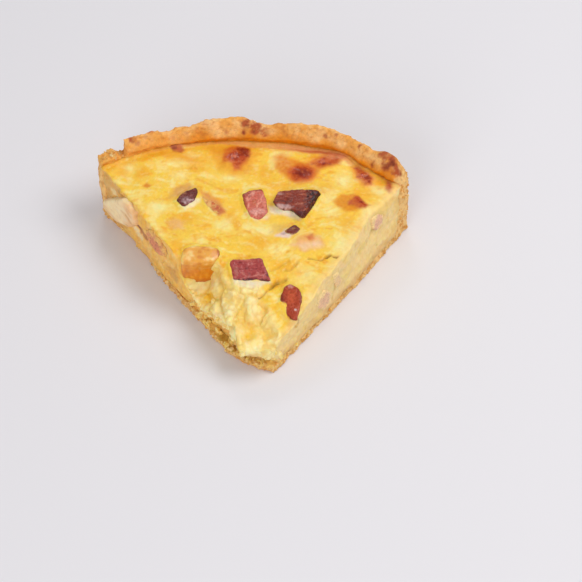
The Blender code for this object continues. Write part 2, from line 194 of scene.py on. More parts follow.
def started_tree(name, inputs):
    """A Geometry Nodes tree with these inputs, as a tree and the outputs of its first node."""
    tree = bpy.data.node_groups.new(name, "GeometryNodeTree")
    tree.is_modifier = True
    for title, kind in {"Geometry": "Geometry", **inputs, "Material": "Material"}.items():
        tree.interface.new_socket(title, in_out="INPUT", socket_type="NodeSocket" + kind)
    tree.interface.new_socket("Geometry", in_out="OUTPUT", socket_type="NodeSocketGeometry")
    return tree, tree.nodes.new("NodeGroupInput").outputs


def ended_tree(tree, make, shape, material):
    """Makes a tree's instances real, gives them their material and hands them out."""
    realised = make("GeometryNodeRealizeInstances", 0, {0: shape})
    finished = make("GeometryNodeSetMaterial", 0, {"Geometry": realised, "Material": material})
    feed(tree, tree.nodes.new("NodeGroupOutput"), {0: finished})
    return tree


def relief_tree():
    """Nodes that push a surface in and out by two sizes of noise, and leave its flat foot alone."""
    names = ("Relief", "Grain", "Fine Relief", "Fine Grain", "Foot", "Seed")
    tree, given = started_tree("baked relief", dict.fromkeys(names, "Float"))
    make = node_maker(tree)
    position = make("GeometryNodeInputPosition", 0, {})
    height = make("ShaderNodeSeparateXYZ", "Z", {0: position})
    full = make("ShaderNodeMath", 0, {0: given["Foot"], 1: FOOT_FADE}, operation="ADD")
    fade = {"Value": height, "From Min": given["Foot"], "From Max": full}
    above_foot = make("ShaderNodeMapRange", "Result", fade)
    pushes = []
    for size_name, relief_name in (("Grain", "Relief"), ("Fine Grain", "Fine Relief")):
        scale = make("ShaderNodeMath", 0, {0: 1.0, 1: given[size_name]}, operation="DIVIDE")
        noise_inputs = {"Vector": position, "W": given["Seed"], "Scale": scale, "Detail": 2.0}
        waves = make("ShaderNodeTexNoise", "Fac", noise_inputs, noise_dimensions="4D")
        centred = make("ShaderNodeMath", 0, {0: waves, 1: 0.5}, operation="SUBTRACT")
        push = make("ShaderNodeMath", 0, {0: centred, 1: given[relief_name]}, operation="MULTIPLY")
        pushes.append(push)
    both = make("ShaderNodeMath", 0, {0: pushes[0], 1: pushes[1]}, operation="ADD")
    kept = make("ShaderNodeMath", 0, {0: both, 1: above_foot}, operation="MULTIPLY")
    full_push = make("ShaderNodeMath", 0, {0: kept, 1: NOISE_TO_RELIEF}, operation="MULTIPLY")
    normal = make("GeometryNodeInputNormal", 0, {})
    outward = make("ShaderNodeVectorMath", 0, {0: normal, "Scale": full_push}, operation="SCALE")
    moved = make("GeometryNodeSetPosition", 0, {"Geometry": given["Geometry"], "Offset": outward})
    smooth = make("GeometryNodeSetShadeSmooth", 0, {"Geometry": moved})
    return ended_tree(tree, make, smooth, given["Material"])


def set_inputs(modifier, values):
    for item in modifier.node_group.interface.items_tree:
        if item.item_type == "SOCKET" and item.in_out == "INPUT" and item.name in values:
            modifier[item.identifier] = values[item.name]


def added(name, data):
    """Puts an object that holds this mesh, lamp or camera into the scene."""
    made = bpy.data.objects.new(name, data)
    bpy.context.scene.collection.objects.link(made)
    return made


def settled(made):
    """Turns an object with its modifiers into a plain mesh object of the same name."""
    graph = bpy.context.evaluated_depsgraph_get()
    mesh = bpy.data.meshes.new_from_object(made.evaluated_get(graph))
    made.modifiers.clear()
    made.data = mesh
    return made


def from_solid(name, node, voxel, smoothing, relief, material):
    """A finer copy of a CAD node: merged, remeshed evenly, smoothed and given its relief."""
    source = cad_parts[node].data.copy()
    bm = bmesh.new()
    bm.from_mesh(source)
    bmesh.ops.remove_doubles(bm, verts=bm.verts, dist=1e-6)
    bm.to_mesh(source)
    bm.free()
    source.materials.clear()
    made = added(name, source)
    remesh = made.modifiers.new("even cells", "REMESH")
    remesh.mode = "VOXEL"
    remesh.voxel_size = voxel
    soften = made.modifiers.new("soft edges", "SMOOTH")
    soften.factor = 0.5
    soften.iterations = smoothing
    rough = made.modifiers.new("baked relief", "NODES")
    rough.node_group = RELIEF
    set_inputs(rough, {**relief, "Material": material})
    return settled(made)


def painted_material(
    name, roughness, mottle, mottle_size, bump, bump_size, sheen_of_fat=0.0, juice=0.0, wet=0.5
):
    """Food surface: its painted colour with a fine mottle, a fine bump, and gloss where greasy."""
    material = bpy.data.materials.new(name)
    material.use_nodes = True
    make = node_maker(material.node_tree)
    place = make("ShaderNodeTexCoord", "Object", {})
    paint = make("ShaderNodeVertexColor", "Color", {}, layer_name="paint")
    mottling = {"Vector": place, "Scale": 1 / mottle_size, "Detail": 4.0, "Roughness": 0.65}
    flecks = make("ShaderNodeTexNoise", "Fac", mottling)
    middle = {"Value": flecks, "From Min": 0.3, "From Max": 0.7}
    shades = {"To Min": 1.0 - mottle, "To Max": 1.0 + mottle}
    strength = make("ShaderNodeMapRange", "Result", {**middle, **shades})
    shaded = make("ShaderNodeVectorMath", "Vector", {0: paint, "Scale": strength}, operation="SCALE")
    roughnesses = {"To Min": roughness - GLOSS_SPREAD, "To Max": roughness + GLOSS_SPREAD}
    gloss = make("ShaderNodeMapRange", "Result", {**middle, **roughnesses})
    greasy = make("ShaderNodeAttribute", "Fac", {}, attribute_name="greasy")
    smoother = make("ShaderNodeMath", 0, {0: greasy, 1: -GREASE_GLOSS, 2: gloss}, operation="MULTIPLY_ADD")
    pitting = {"Vector": place, "Scale": 1 / bump_size, "Detail": 2.5, "Roughness": 0.5}
    pores = make("ShaderNodeTexNoise", "Fac", pitting)
    uneven = make("ShaderNodeBump", "Normal", {"Strength": 1.0, "Distance": bump, "Height": pores})
    looks = {
        "Base Color": shaded, "Roughness": smoother, "Normal": uneven, "Specular IOR Level": wet,
        "Subsurface Weight": juice, "Subsurface Radius": LIGHT_REACH, "Subsurface Scale": 1.0,
        "Coat Weight": sheen_of_fat, "Coat Roughness": FAT_ROUGHNESS,
    }
    feed(material.node_tree, material.node_tree.nodes["Principled BSDF"], looks)
    return material


RELIEF = relief_tree()
pastry_material = painted_material("golden pastry", 0.62, 0.13, 0.0016, 0.00026, 0.0009, juice=0.10, wet=0.2)
pastry = from_solid("pastry", "pastry_shell", PASTRY_VOXEL, 3, PASTRY_RELIEF, pastry_material)

places = corners(pastry.data)
normals = facing(pastry.data)
radius, angle = turned(places)
flat = (places - CUTS_MEET)[:, :2] / MM
height = places[:, 2] / MM
broad = grain(places, 0.0075, 41)
fine = grain(places, 0.0024, 42)
behind_wall = (radius - wall_radius(angle, places[:, 2])) / MM
specks = grain(places, 0.0013, 43)
crest = rise(height, 29.0, 33.0)
colours = np.tile(tone(PASTRY_GOLD), (len(places), 1))
# paler patches over the pastry, laid on more thickly along the crest of the rim as a painted highlight
colours = blend(colours, rise(broad + 0.5 * fine, -0.3, 0.5) * (0.45 + 0.4 * crest), PASTRY_LIGHT)
inner_band = rise(height, 26.0, 27.5) * (1 - rise(height + 1.6 * broad, 30.0, 33.5))
inner_band *= (1 - rise(behind_wall, 1.8, 3.4)) * (0.35 + 0.65 * rise(angle, -24, -10))
colours = blend(colours, inner_band * (0.95 + 0.2 * fine), PASTRY_BAND)
low = 1 - rise(height, 4.0, 30.0)
colours = blend(colours, low * 0.6, PASTRY_BASE)
outside = rise(behind_wall, 2.5, 3.5) * (1 - rise(height, 30, 34))
colours = blend(colours, outside * rise(broad + 0.5 * fine, -0.1, 0.6) * 0.5, GOLD_BROWN)
colours = blend(colours, outside * rise(height + 4 * broad, 18, 32) * 0.35, CRAZE_BROWN)
craze = 1 - rise(np.abs(grain(places * (1, 1, 1.6), 0.0038, 44)), 0.0, 0.09)
colours = blend(colours, craze * crest * rise(broad, -0.4, 0.2) * 0.6, CRAZE_BROWN)
colours = blend(colours, crest * rise(-broad - 0.7 * specks, 0.15, 0.7) * 0.6, CRAZE_BROWN)
reddish = crest * rise(-angle, 8, 16) * rise(0.7 * broad + 0.8 * fine, 0.1, 0.6)
colours = blend(colours, reddish * 0.5, MOTTLE_RED)
from_right = np.radians(right_cut(radius, places[:, 2]) - angle) * radius / MM
from_left = np.radians(angle + LEFT_CUT_FOOT) * radius / MM
side_on = 1 - rise(np.minimum(from_right, from_left), 0.7, 1.9)
cut_side = side_on * (1 - rise(np.abs(normals[:, 2]), 0.6, 0.95)) * (1 - rise(height + fine, 29.5, 32.0))
colours = blend(colours, cut_side * 0.9, PASTRY_CRUMB)
colours = blend(colours, cut_side * rise(fine + specks, -0.1, 0.6) * 0.65, GOLD_BROWN)
outer_edge = rise((radius - tin_radius(angle, places[:, 2])) / MM + 0.5 * fine, -1.6, -0.9)
colours = blend(colours, cut_side * outer_edge * rise(height, 3, 6) * 0.8, GOLD_BROWN)
near_tip = 1 - rise(radius / MM + 3 * broad, 44, 54)
residue = near_tip * rise(height, 2.4, 3.2) * (1 - rise(height, 5, 6))
colours = blend(colours, residue * 0.9, RESIDUE)
smeared_tip = (1 - rise(radius / MM + 2 * broad, 22, 38)) * rise(height, 0.6, 1.8)
colours = blend(colours, smeared_tip * (0.6 + 0.3 * fine), RESIDUE)
# in the recess at the front left, where the filling fell away, the residue is darkened to olive as painted
# shade
in_recess = spot(flat + 1.5 * broad[:, None], -12, 22, 6, 9)
in_recess = rise(np.maximum(in_recess, 0.9 * spot(flat, -5, 13, 5, 3)), 0.3, 0.7)
colours = blend(colours, residue * in_recess * (0.85 + 0.4 * fine), RESIDUE_IN_SHADE)
colours = blend(colours, residue * rise(fine + 0.6 * specks, 0.1, 0.6) * 0.4, GOLD_BROWN)
ledge = rise(-angle, 29.0, 29.6) * rise(height, 27.0, 29.0)
colours = blend(colours, ledge * (0.6 + 0.4 * fine), LEDGE_GOLD)
colours = blend(colours, ledge * rise(specks + broad, 0.2, 0.7) * 0.7, LEDGE_BROWN)
edge_brown = (1 - rise(height, 0.5, 2.0)) * rise(fine + 0.5 * broad, -0.1, 0.5)
colours = blend(colours, edge_brown * 0.4, CRAZE_BROWN)
browned = np.zeros(len(places))
patchy = 0.75 + 0.55 * specks + 0.35 * fine
for x, y, reach_x, reach_y, strength in RIM_SPOTS:
    browned = np.maximum(browned, strength * spot(flat, x, y, reach_x, reach_y))
browned *= rise(height, 27.0, 29.0)
colours = blend(colours, rise(browned * patchy, 0.12, 0.55) * 0.9, PASTRY_TOAST)
colours = blend(colours, rise(browned, 0.3, 0.7) * rise(fine - specks, 0.2, 0.7) * 0.5, PASTRY_BURNT)
colours = blend(colours, rise(browned, 0.2, 0.6) * rise(-fine + specks, 0.35, 0.8) * 0.4, PASTRY_LIGHT)
burnt = spot(flat, 54.5, 96.0, 4.0, 3.4) * patchy * rise(height, 27.0, 29.0)
colours = blend(colours, rise(burnt, 0.5, 0.95) * 0.8, PASTRY_BURNT)
set_paint(pastry.data, colours)
at_base = (1 - rise(height, 3.4, 4.4)) * rise(height, 0.4, 0.9)
at_edges = np.maximum(1 - rise(np.minimum(from_left, from_right), 0.6, 1.6), 1 - rise(radius / MM, 24, 28))
right_end = 0.3 * side_on * rise(angle, 20, 25) * rise(height, 4, 6) * (1 - rise(height, 24, 28))
left_end = 0.6 * ledge * rise(normals[:, 2], 0.3, 0.8)
crumbling = np.maximum(np.maximum(at_base * at_edges, right_end), left_end)
set_share(pastry.data, "crumbly", crumbling * rise(fine, -0.5, 0.2))
set_share(pastry.data, "curdy", residue * rise(normals[:, 2], 0.3, 0.8))
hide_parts("pastry_shell")
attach(pastry, "root")

# Egg filling: eggs, cream and cheese set in the shell. Its skin is satin yellow with browned
# patches, its two cut faces show a soft curd, and its tip is torn and crumbled.
GAP = 0.0003
FILLING_FLOOR = BASE_THICKNESS + GAP
LEFT_SIDE = -35.3
RIGHT_SIDE = 34.0
TIP_RADIUS = 0.0110
TIP_FACE = 0.0092
TIP_SET_BACK = 0.0028
TIP_BROW_START = 0.25
TIP_BROW_RISE = 0.35
SKIN_LEVEL = 0.0275
SKIN_DROP = 0.0135
SKIN_DROP_REACH = 0.038
SKIN_DROP_POWER = 2.6
CRAG_REACH = 0.046
CUT_RELIEF = 0.0007
BASE_TIP_RADIUS = ((-36, -34, -22, 4, 37), (0.0250, 0.0221, 0.0144, 0.0104, 0.0112))
# angle of the left cut at these distances from where the cuts meet, at its top and at its floor
LEFT_CUT_TOP = (
    (12, 15, 19.5, 23.5, 28, 34, 40, 60, 117), (-41, -36, -27.5, -31, -30, -33.5, -35.2, -35.4, -35.2),
)
LEFT_CUT_FLOOR = ((12, 20, 30, 45, 60, 117), (-20.0, -27.0, -32.0, -34.9, -35.6, -35.8))
# swellings and hollows of the skin: place, reach and lift
SWELLS = (
    (-11, 103, 5.5, 1.3), (-14, 98, 4.0, 0.7), (16, 95, 5.0, 1.6), (10, 100, 5.0, 0.8),
    (28, 102, 5.5, 1.1), (35, 104, 4.0, 0.9), (44.5, 93, 4.5, 1.1), (38, 78, 5.0, 1.0),
    (43, 77, 3.5, 0.8), (54, 87, 3.5, 0.9), (20, 58, 5.5, 0.9), (-48, 86, 1.8, -0.5),
    (-36, 109, 2.6, 0.8), (-20, 27, 6.0, -6.0), (-14, 33, 4.0, -1.2), (-9, 24, 5.0, 2.4),
    (-3, 19, 4.5, -1.4), (4, 26, 7.0, 1.2), (-6, 31, 5.0, 1.2), (-36, 45, 4.0, -1.8),
    (8, 14, 4.0, -1.2), (-57, 93, 6.0, -0.9), (-40, 62, 9.0, -0.7), (2, 56, 9.0, 0.6),
)
# part of the skin that fell away at the left: place, half width, half length, depth
FALLEN = (-29.5, 37.5, 12.8, 10.0, 12.0)
# cracks of the skin: line, width, depth, darkness of the painted shade in them
CRACKS = (
    (((-0.2, 31.4), (2.6, 33.9), (5.4, 36.3), (7.4, 37.5)), 0.45, 0.9, 0.6),
    (((5.4, 36.3), (7.4, 37.5), (10.6, 39.1)), 0.90, 1.2, 0.6),
    (((20.0, 48.3), (24.9, 47.7), (27.3, 49.1), (28.6, 50.6), (31.9, 49.1)), 0.40, 0.7, 0.5),
    (((27.3, 49.1), (28.6, 50.3)), 0.60, 0.9, 0.8),
    (((30.6, 49.6), (31.6, 49.2)), 0.50, 0.8, 0.8),
    (((10.6, 43.5), (12.6, 43.4), (14.2, 45.2), (15.5, 47.0)), 0.60, 0.9, 0.3),
    (((4.5, 43.5), (8.0, 44.6), (12.0, 47.5)), 0.70, 0.5, 0.2),
    (((34.0, 47.5), (36.5, 45.0), (37.2, 41.0)), 0.50, 0.6, 0.3),
)
# a bubble in the skin: place and radius
BUBBLE = (-28.6, 96.5, 1.0)
# how far the egg climbs round each piece that stands in the skin
EGG_CLIMBS = {
    "lardon_left_dark": 0.65, "lardon_left_sunk": 0.15, "lardon_centre_pink": 0.75,
    "lardon_large_dark": 1.3, "lardon_small_dark": 0.25, "lardon_front_square": 0.9,
    "lardon_front_drop": 0.5, "golden_chunk": 0.9,
}
# cells of the skin across and along it, closer together toward the tip, and rows down the faces
SKIN_CELLS = (230, 210)
ROWS_TOWARD_TIP = 1.2
FACE_ROWS = 36
SOFT_EDGE_PASSES = 9
# torn part of the skin
CRAG_OUTLINE = [
    (-30, 44), (-17, 46), (-13, 38.5), (2, 37.5), (-0.2, 31.4), (4, 27),
    (7, 21), (10, 14), (9, 6), (-10, 6), (-24, 24),
]

SKIN_YELLOW = (253, 206, 72)
SKIN_CREAM = (255, 232, 154)
SKIN_AMBER = (242, 170, 28)
CURD = (255, 240, 182)
CURD_YELLOW = (252, 212, 92)
CURD_SHADE = (216, 172, 74)
CUT_CREAM = (252, 216, 148)
CUT_TAN = (222, 172, 104)
TOAST_HALO = (236, 160, 36)
TOAST_RED = (184, 68, 30)
TOAST_ORANGE = (216, 106, 28)
TOAST_DARK = (120, 30, 18)
TOAST_PALE = (228, 126, 66)
SKIN_PINK = (226, 150, 104)
LINE_BROWN = (184, 110, 46)
CRACK_SHADE = (176, 130, 38)
LEFT_GOLD = (250, 184, 68)
LEFT_TAN = (204, 138, 68)
LEFT_RIM_TAN = (204, 158, 96)
RIGHT_RIM_TAN = (228, 180, 98)
LIP_SHADE = (186, 128, 34)
# deeper yellow and shade in the torn part: place, reach across and along, colour, strength, speckle
CRAG_SPOTS = (
    (-21, 37, 3.4, 3.8, (244, 190, 44), 1.0, 0.5), (-3, 17.5, 4.2, 4.4, (246, 194, 60), 0.8, 0.5),
    (3, 29, 4.4, 4.0, (248, 196, 70), 0.6, 0.0), (-16, 33, 1.4, 3.0, CURD_SHADE, 0.6, 0.0),
)
# marks of the left cut face: distance from where the cuts meet, height, reaches, colour, strength; the brown
# mark under the pale chunk and the tan one low in the middle are painted shade
LEFT_MARKS_AND_SHADE = (
    (90.0, 17.2, 5.4, 1.3, (160, 80, 50), 0.95), (84.5, 15.4, 4.2, 1.5, (176, 98, 62), 0.8),
    (92.0, 14.4, 4.4, 1.4, (252, 230, 184), 0.8), (87.0, 12.4, 3.0, 1.6, (250, 222, 168), 0.8),
    (67.0, 22.6, 2.4, 1.6, (150, 84, 60), 0.6), (79.0, 23.2, 2.6, 1.0, (214, 140, 100), 0.6),
    (62.0, 12.0, 5.0, 4.4, (206, 150, 78), 0.6), (52.0, 16.0, 3.0, 4.0, (226, 172, 108), 0.5),
    (103.0, 24.6, 2.4, 0.9, (190, 140, 84), 0.7), (108.0, 20.5, 3.0, 1.2, (250, 226, 176), 0.6),
)


def inside(flat, outline, soft):
    """1 within an outline and 0 beyond it, with an edge this soft. All in millimetres."""
    x, y = flat[:, 0], flat[:, 1]
    nearest = np.full(len(flat), np.inf)
    within = np.zeros(len(flat), bool)
    for (ax, ay), (bx, by) in zip(outline, outline[1:] + outline[:1]):
        run, climb = bx - ax, by - ay
        share = np.clip(((x - ax) * run + (y - ay) * climb) / (run**2 + climb**2), 0, 1)
        nearest = np.minimum(nearest, np.hypot(x - ax - share * run, y - ay - share * climb))
        crossed = (ay > y) != (by > y)
        within ^= crossed & (x < ax + run * (y - ay) / (climb if climb else 1))
    return rise(np.where(within, nearest, -nearest), -soft / 2, soft / 2)


def off_line(flat, line):
    """Distance of each place from a line of points, in millimetres."""
    nearest = np.full(len(flat), np.inf)
    for (ax, ay), (bx, by) in zip(line, line[1:]):
        run, climb = bx - ax, by - ay
        share = ((flat[:, 0] - ax) * run + (flat[:, 1] - ay) * climb) / (run**2 + climb**2)
        share = np.clip(share, 0, 1)
        gap = np.hypot(flat[:, 0] - ax - share * run, flat[:, 1] - ay - share * climb)
        nearest = np.minimum(nearest, gap)
    return nearest


def cut_turn(radius, z, seed):
    upright = np.column_stack((radius, z * 1.4, np.zeros(len(radius))))
    bumps = grain(upright, 0.0060, seed) + 0.5 * grain(upright, 0.0028, seed + 3)
    return np.degrees(CUT_RELIEF * bumps / radius)


def skin_height(x, y):
    """Height of the filling's skin, with its swellings, hollows and crumbled tip."""
    radius = np.hypot(x, y)
    z = SKIN_LEVEL - SKIN_DROP * np.exp(-((radius / SKIN_DROP_REACH) ** SKIN_DROP_POWER))
    flat = np.column_stack((x, y)) / MM
    for sx, sy, reach, lift in SWELLS:
        z = z + lift * MM * spot(flat, sx, sy, reach, reach)
    fallen_x, fallen_y, half_width, half_length, depth = FALLEN
    away = ((flat[:, 0] - fallen_x) / half_width) ** 2 + ((flat[:, 1] - fallen_y) / half_length) ** 2
    z = z - depth * MM * np.exp(-(away**3))
    level = np.column_stack((x, y, np.zeros(len(x))))
    z = z + 0.0004 * grain(level, 0.009, 4)
    crumbled = np.exp(-((radius / CRAG_REACH) ** 4))
    return z + 0.0016 * crumbled * (grain(level, 0.0052, 8) + 0.4 * grain(level, 0.0026, 9))


def filling_places(u, v, w):
    """Filling: u from the left cut to the right, v from the tip to the wall, w from floor to skin."""
    height = FILLING_FLOOR + (SKIN_LEVEL - FILLING_FLOOR) * w
    left_radius = TIP_RADIUS + (wall_radius(LEFT_SIDE, height) - TIP_RADIUS) * v
    right_radius = TIP_RADIUS + (wall_radius(RIGHT_SIDE, height) - TIP_RADIUS) * v
    floor_left = np.interp(left_radius / MM, *LEFT_CUT_FLOOR)
    left = floor_left + (np.interp(left_radius / MM, *LEFT_CUT_TOP) - floor_left) * w
    left = left + cut_turn(left_radius, height, 5) * np.minimum(left_radius / 0.03, 1.0)
    right = right_cut(right_radius, height) + cut_turn(right_radius, height, 6)
    angle = left + (right - left) * u
    turn = np.radians(angle)
    floor_tip = np.interp(angle, *BASE_TIP_RADIUS) + TIP_SET_BACK
    brow = np.clip((w - TIP_BROW_START) / TIP_BROW_RISE, 0, 1)
    tip = floor_tip + (TIP_FACE / np.cos(turn) - floor_tip) * brow
    for _ in range(2):
        radius = tip + (wall_radius(angle, height) + GAP - tip) * v
        x, y = radius * np.sin(turn), radius * np.cos(turn)
        height = FILLING_FLOOR + (skin_height(x, y) - FILLING_FLOOR) * w
    return np.column_stack((x, y, height)) + CUTS_MEET


def skirted_sheet(columns, rows, levels):
    """Unit sheet of cells with a skirt round it: its corners, its faces and the floor's loop."""
    across, along = np.meshgrid(np.arange(columns + 1), np.arange(rows + 1), indexing="ij")
    index = across * (rows + 1) + along
    sheet = np.column_stack((across.ravel() / columns, along.ravel() / rows, np.ones(across.size)))
    quads = np.column_stack([
        part.ravel() for part in (index[:-1, :-1], index[1:, :-1], index[1:, 1:], index[:-1, 1:])
    ])
    loop = np.concatenate((index[:, 0], index[-1, 1:], index[-2::-1, -1], index[0, -2:0:-1]))
    corners_all, faces, upper = [sheet], [quads], loop
    first = len(sheet)
    for level in range(levels - 1, -1, -1):
        ring = sheet[loop].copy()
        ring[:, 2] = level / levels
        lower = np.arange(first, first + len(loop))
        faces.append(np.column_stack((upper, lower, np.roll(lower, -1), np.roll(upper, -1))))
        corners_all.append(ring)
        upper = lower
        first += len(loop)
    return np.concatenate(corners_all), np.concatenate(faces), upper


def softened(places, quads, hold):
    """Rounds sharp edges by drawing each corner toward its neighbours, but where it's held."""
    pairs = np.concatenate([quads[:, (side, (side + 1) % 4)] for side in range(4)])
    pairs = np.concatenate((pairs, pairs[:, ::-1]))
    count = np.bincount(pairs[:, 0], minlength=len(places))[:, None]
    for _ in range(SOFT_EDGE_PASSES):
        drawn = [np.bincount(pairs[:, 0], places[pairs[:, 1], axis], len(places)) for axis in range(3)]
        places = places + (np.column_stack(drawn) / count - places) * (0.5 * (1 - hold))[:, None]
    return places


def lumps_between_creases(places, size):
    """1 over the middle of each lump of about this size, and 0 along the creases between them."""
    crease = [np.subtract(*noise.voronoi(Vector(place))[0][1::-1]) for place in places / size]
    return rise(np.array(crease), 0.0, 0.38)


def near_solid(places, node, reach):
    """Distance of each place from a CAD node, up to this reach."""
    away = np.full(len(places), reach)
    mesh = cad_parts[node].data
    solid = corners(mesh)
    within = (places > solid.min(axis=0) - reach) & (places < solid.max(axis=0) + reach)
    tree = BVHTree.FromPolygons(solid.tolist(), [tuple(face.vertices) for face in mesh.polygons])
    for index in np.flatnonzero(within.all(axis=1)):
        gap = tree.find_nearest(Vector(places[index]), reach)[3]
        away[index] = reach if gap is None else gap
    return away


uvw, quads, floor_loop = skirted_sheet(*SKIN_CELLS, FACE_ROWS)
uvw[:, 1] **= ROWS_TOWARD_TIP
held = np.maximum(1 - rise(uvw[:, 2], 0.05, 0.15), rise(uvw[:, 1], 0.97, 0.98))
rounded = softened(filling_places(*uvw.T), quads, held)
custard_mesh = bpy.data.meshes.new("custard")
custard_mesh.from_pydata(rounded.tolist(), [], quads.tolist() + [floor_loop[::-1].tolist()])
custard_mesh.update()
bm = bmesh.new()
bm.from_mesh(custard_mesh)
bmesh.ops.recalc_face_normals(bm, faces=bm.faces)
bm.to_mesh(custard_mesh)
bm.free()

places = corners(custard_mesh)
normals = facing(custard_mesh)
radius, angle = turned(places)
flat = (places - CUTS_MEET)[:, :2] / MM
height = places[:, 2] / MM
upward = rise(normals[:, 2], 0.25, 0.75)
off_wall = (wall_radius(angle, places[:, 2]) - radius) / MM
wander = np.column_stack((grain(places, 0.0042, 53), grain(places, 0.0042, 54))) * 1.1
torn = inside(flat + wander * 1.6, CRAG_OUTLINE, 3.0)
free = rise(height, 3.9, 5.5) * (1 - rise(uvw[:, 1], 0.985, 1.0) * rise(28.0 - height, 0.0, 2.0))
lumps = grain(places * (1.0, 0.8, 1.0), 0.0062, 61)
small_lumps = np.abs(grain(places, 0.0023, 62)) * 2 - 0.5
fine = grain(places, 0.0011, 63)
soft_waves = grain(places, 0.0048, 64)
dimples = grain(places, 0.0021, 65)
pits = rise(grain(places, 0.0027, 66), 0.28, 0.62)
shifted = places + np.column_stack((wander * 2.0 + dimples[:, None], soft_waves * 1.5)) * MM
curds, small_curds = np.zeros(len(places)), np.zeros(len(places))
crumbled = np.flatnonzero((torn > 0.01) | (upward < 0.9))
curds[crumbled] = lumps_between_creases(shifted[crumbled] * (1.0, 0.75, 0.9), 0.0084)
small_curds[crumbled] = lumps_between_creases(shifted[crumbled] * (1.0, 0.8, 1.0), 0.0029)
push = torn * (2.2 * lumps + 1.2 * curds + 0.18 * small_curds + 0.18 * dimples + 0.05 * fine - 1.0)
push *= 0.35 + 0.65 * rise(radius / MM, 13, 22)
push -= torn * 1.8 * spot(flat, -24, 43, 5, 4.5)
push -= 2.2 * spot(flat, -6, 12, 4.5, 5) * (1 - rise(height, 8, 11))
push += (1 - torn) * upward * (0.26 * soft_waves + 0.16 * dimples + 0.04 * fine)
face_relief = 0.24 * small_curds + 0.12 * fine + 0.25 * soft_waves + 0.16 * dimples - 0.30 * pits - 0.1
face_relief *= 1 + 0.8 * rise(-angle, 20, 30)
push += (1 - torn) * (1 - upward) * face_relief
streaks = grain(np.column_stack((off_wall * 0.0011, angle * 0.00016, height * 0)), 0.0012, 67)
near_rim = upward * (1 - rise(off_wall, 2.0, 9.0))
push += near_rim * 0.26 * streaks + upward * 1.1 * (1 - rise(off_wall, 0.0, 1.6))
for node, climb in EGG_CLIMBS.items():
    push += upward * climb * np.exp(-((near_solid(places, node, 0.003) / MM / 0.9) ** 2))
crooked = flat + wander * 0.5 + np.column_stack((dimples, soft_waves)) * 0.35
for line, width, depth, darkness in CRACKS:
    push -= upward * depth * np.exp(-((off_line(crooked, line) / width) ** 2))
bubble = np.hypot(flat[:, 0] - BUBBLE[0], flat[:, 1] - BUBBLE[1]) / BUBBLE[2]
push += 0.35 * np.exp(-(((bubble - 1) / 0.45) ** 2)) - 0.3 * np.exp(-((bubble / 0.5) ** 2))
places = places + normals * (push * free)[:, None] * MM
custard_mesh.vertices.foreach_set("co", places.ravel())
custard_mesh.update()
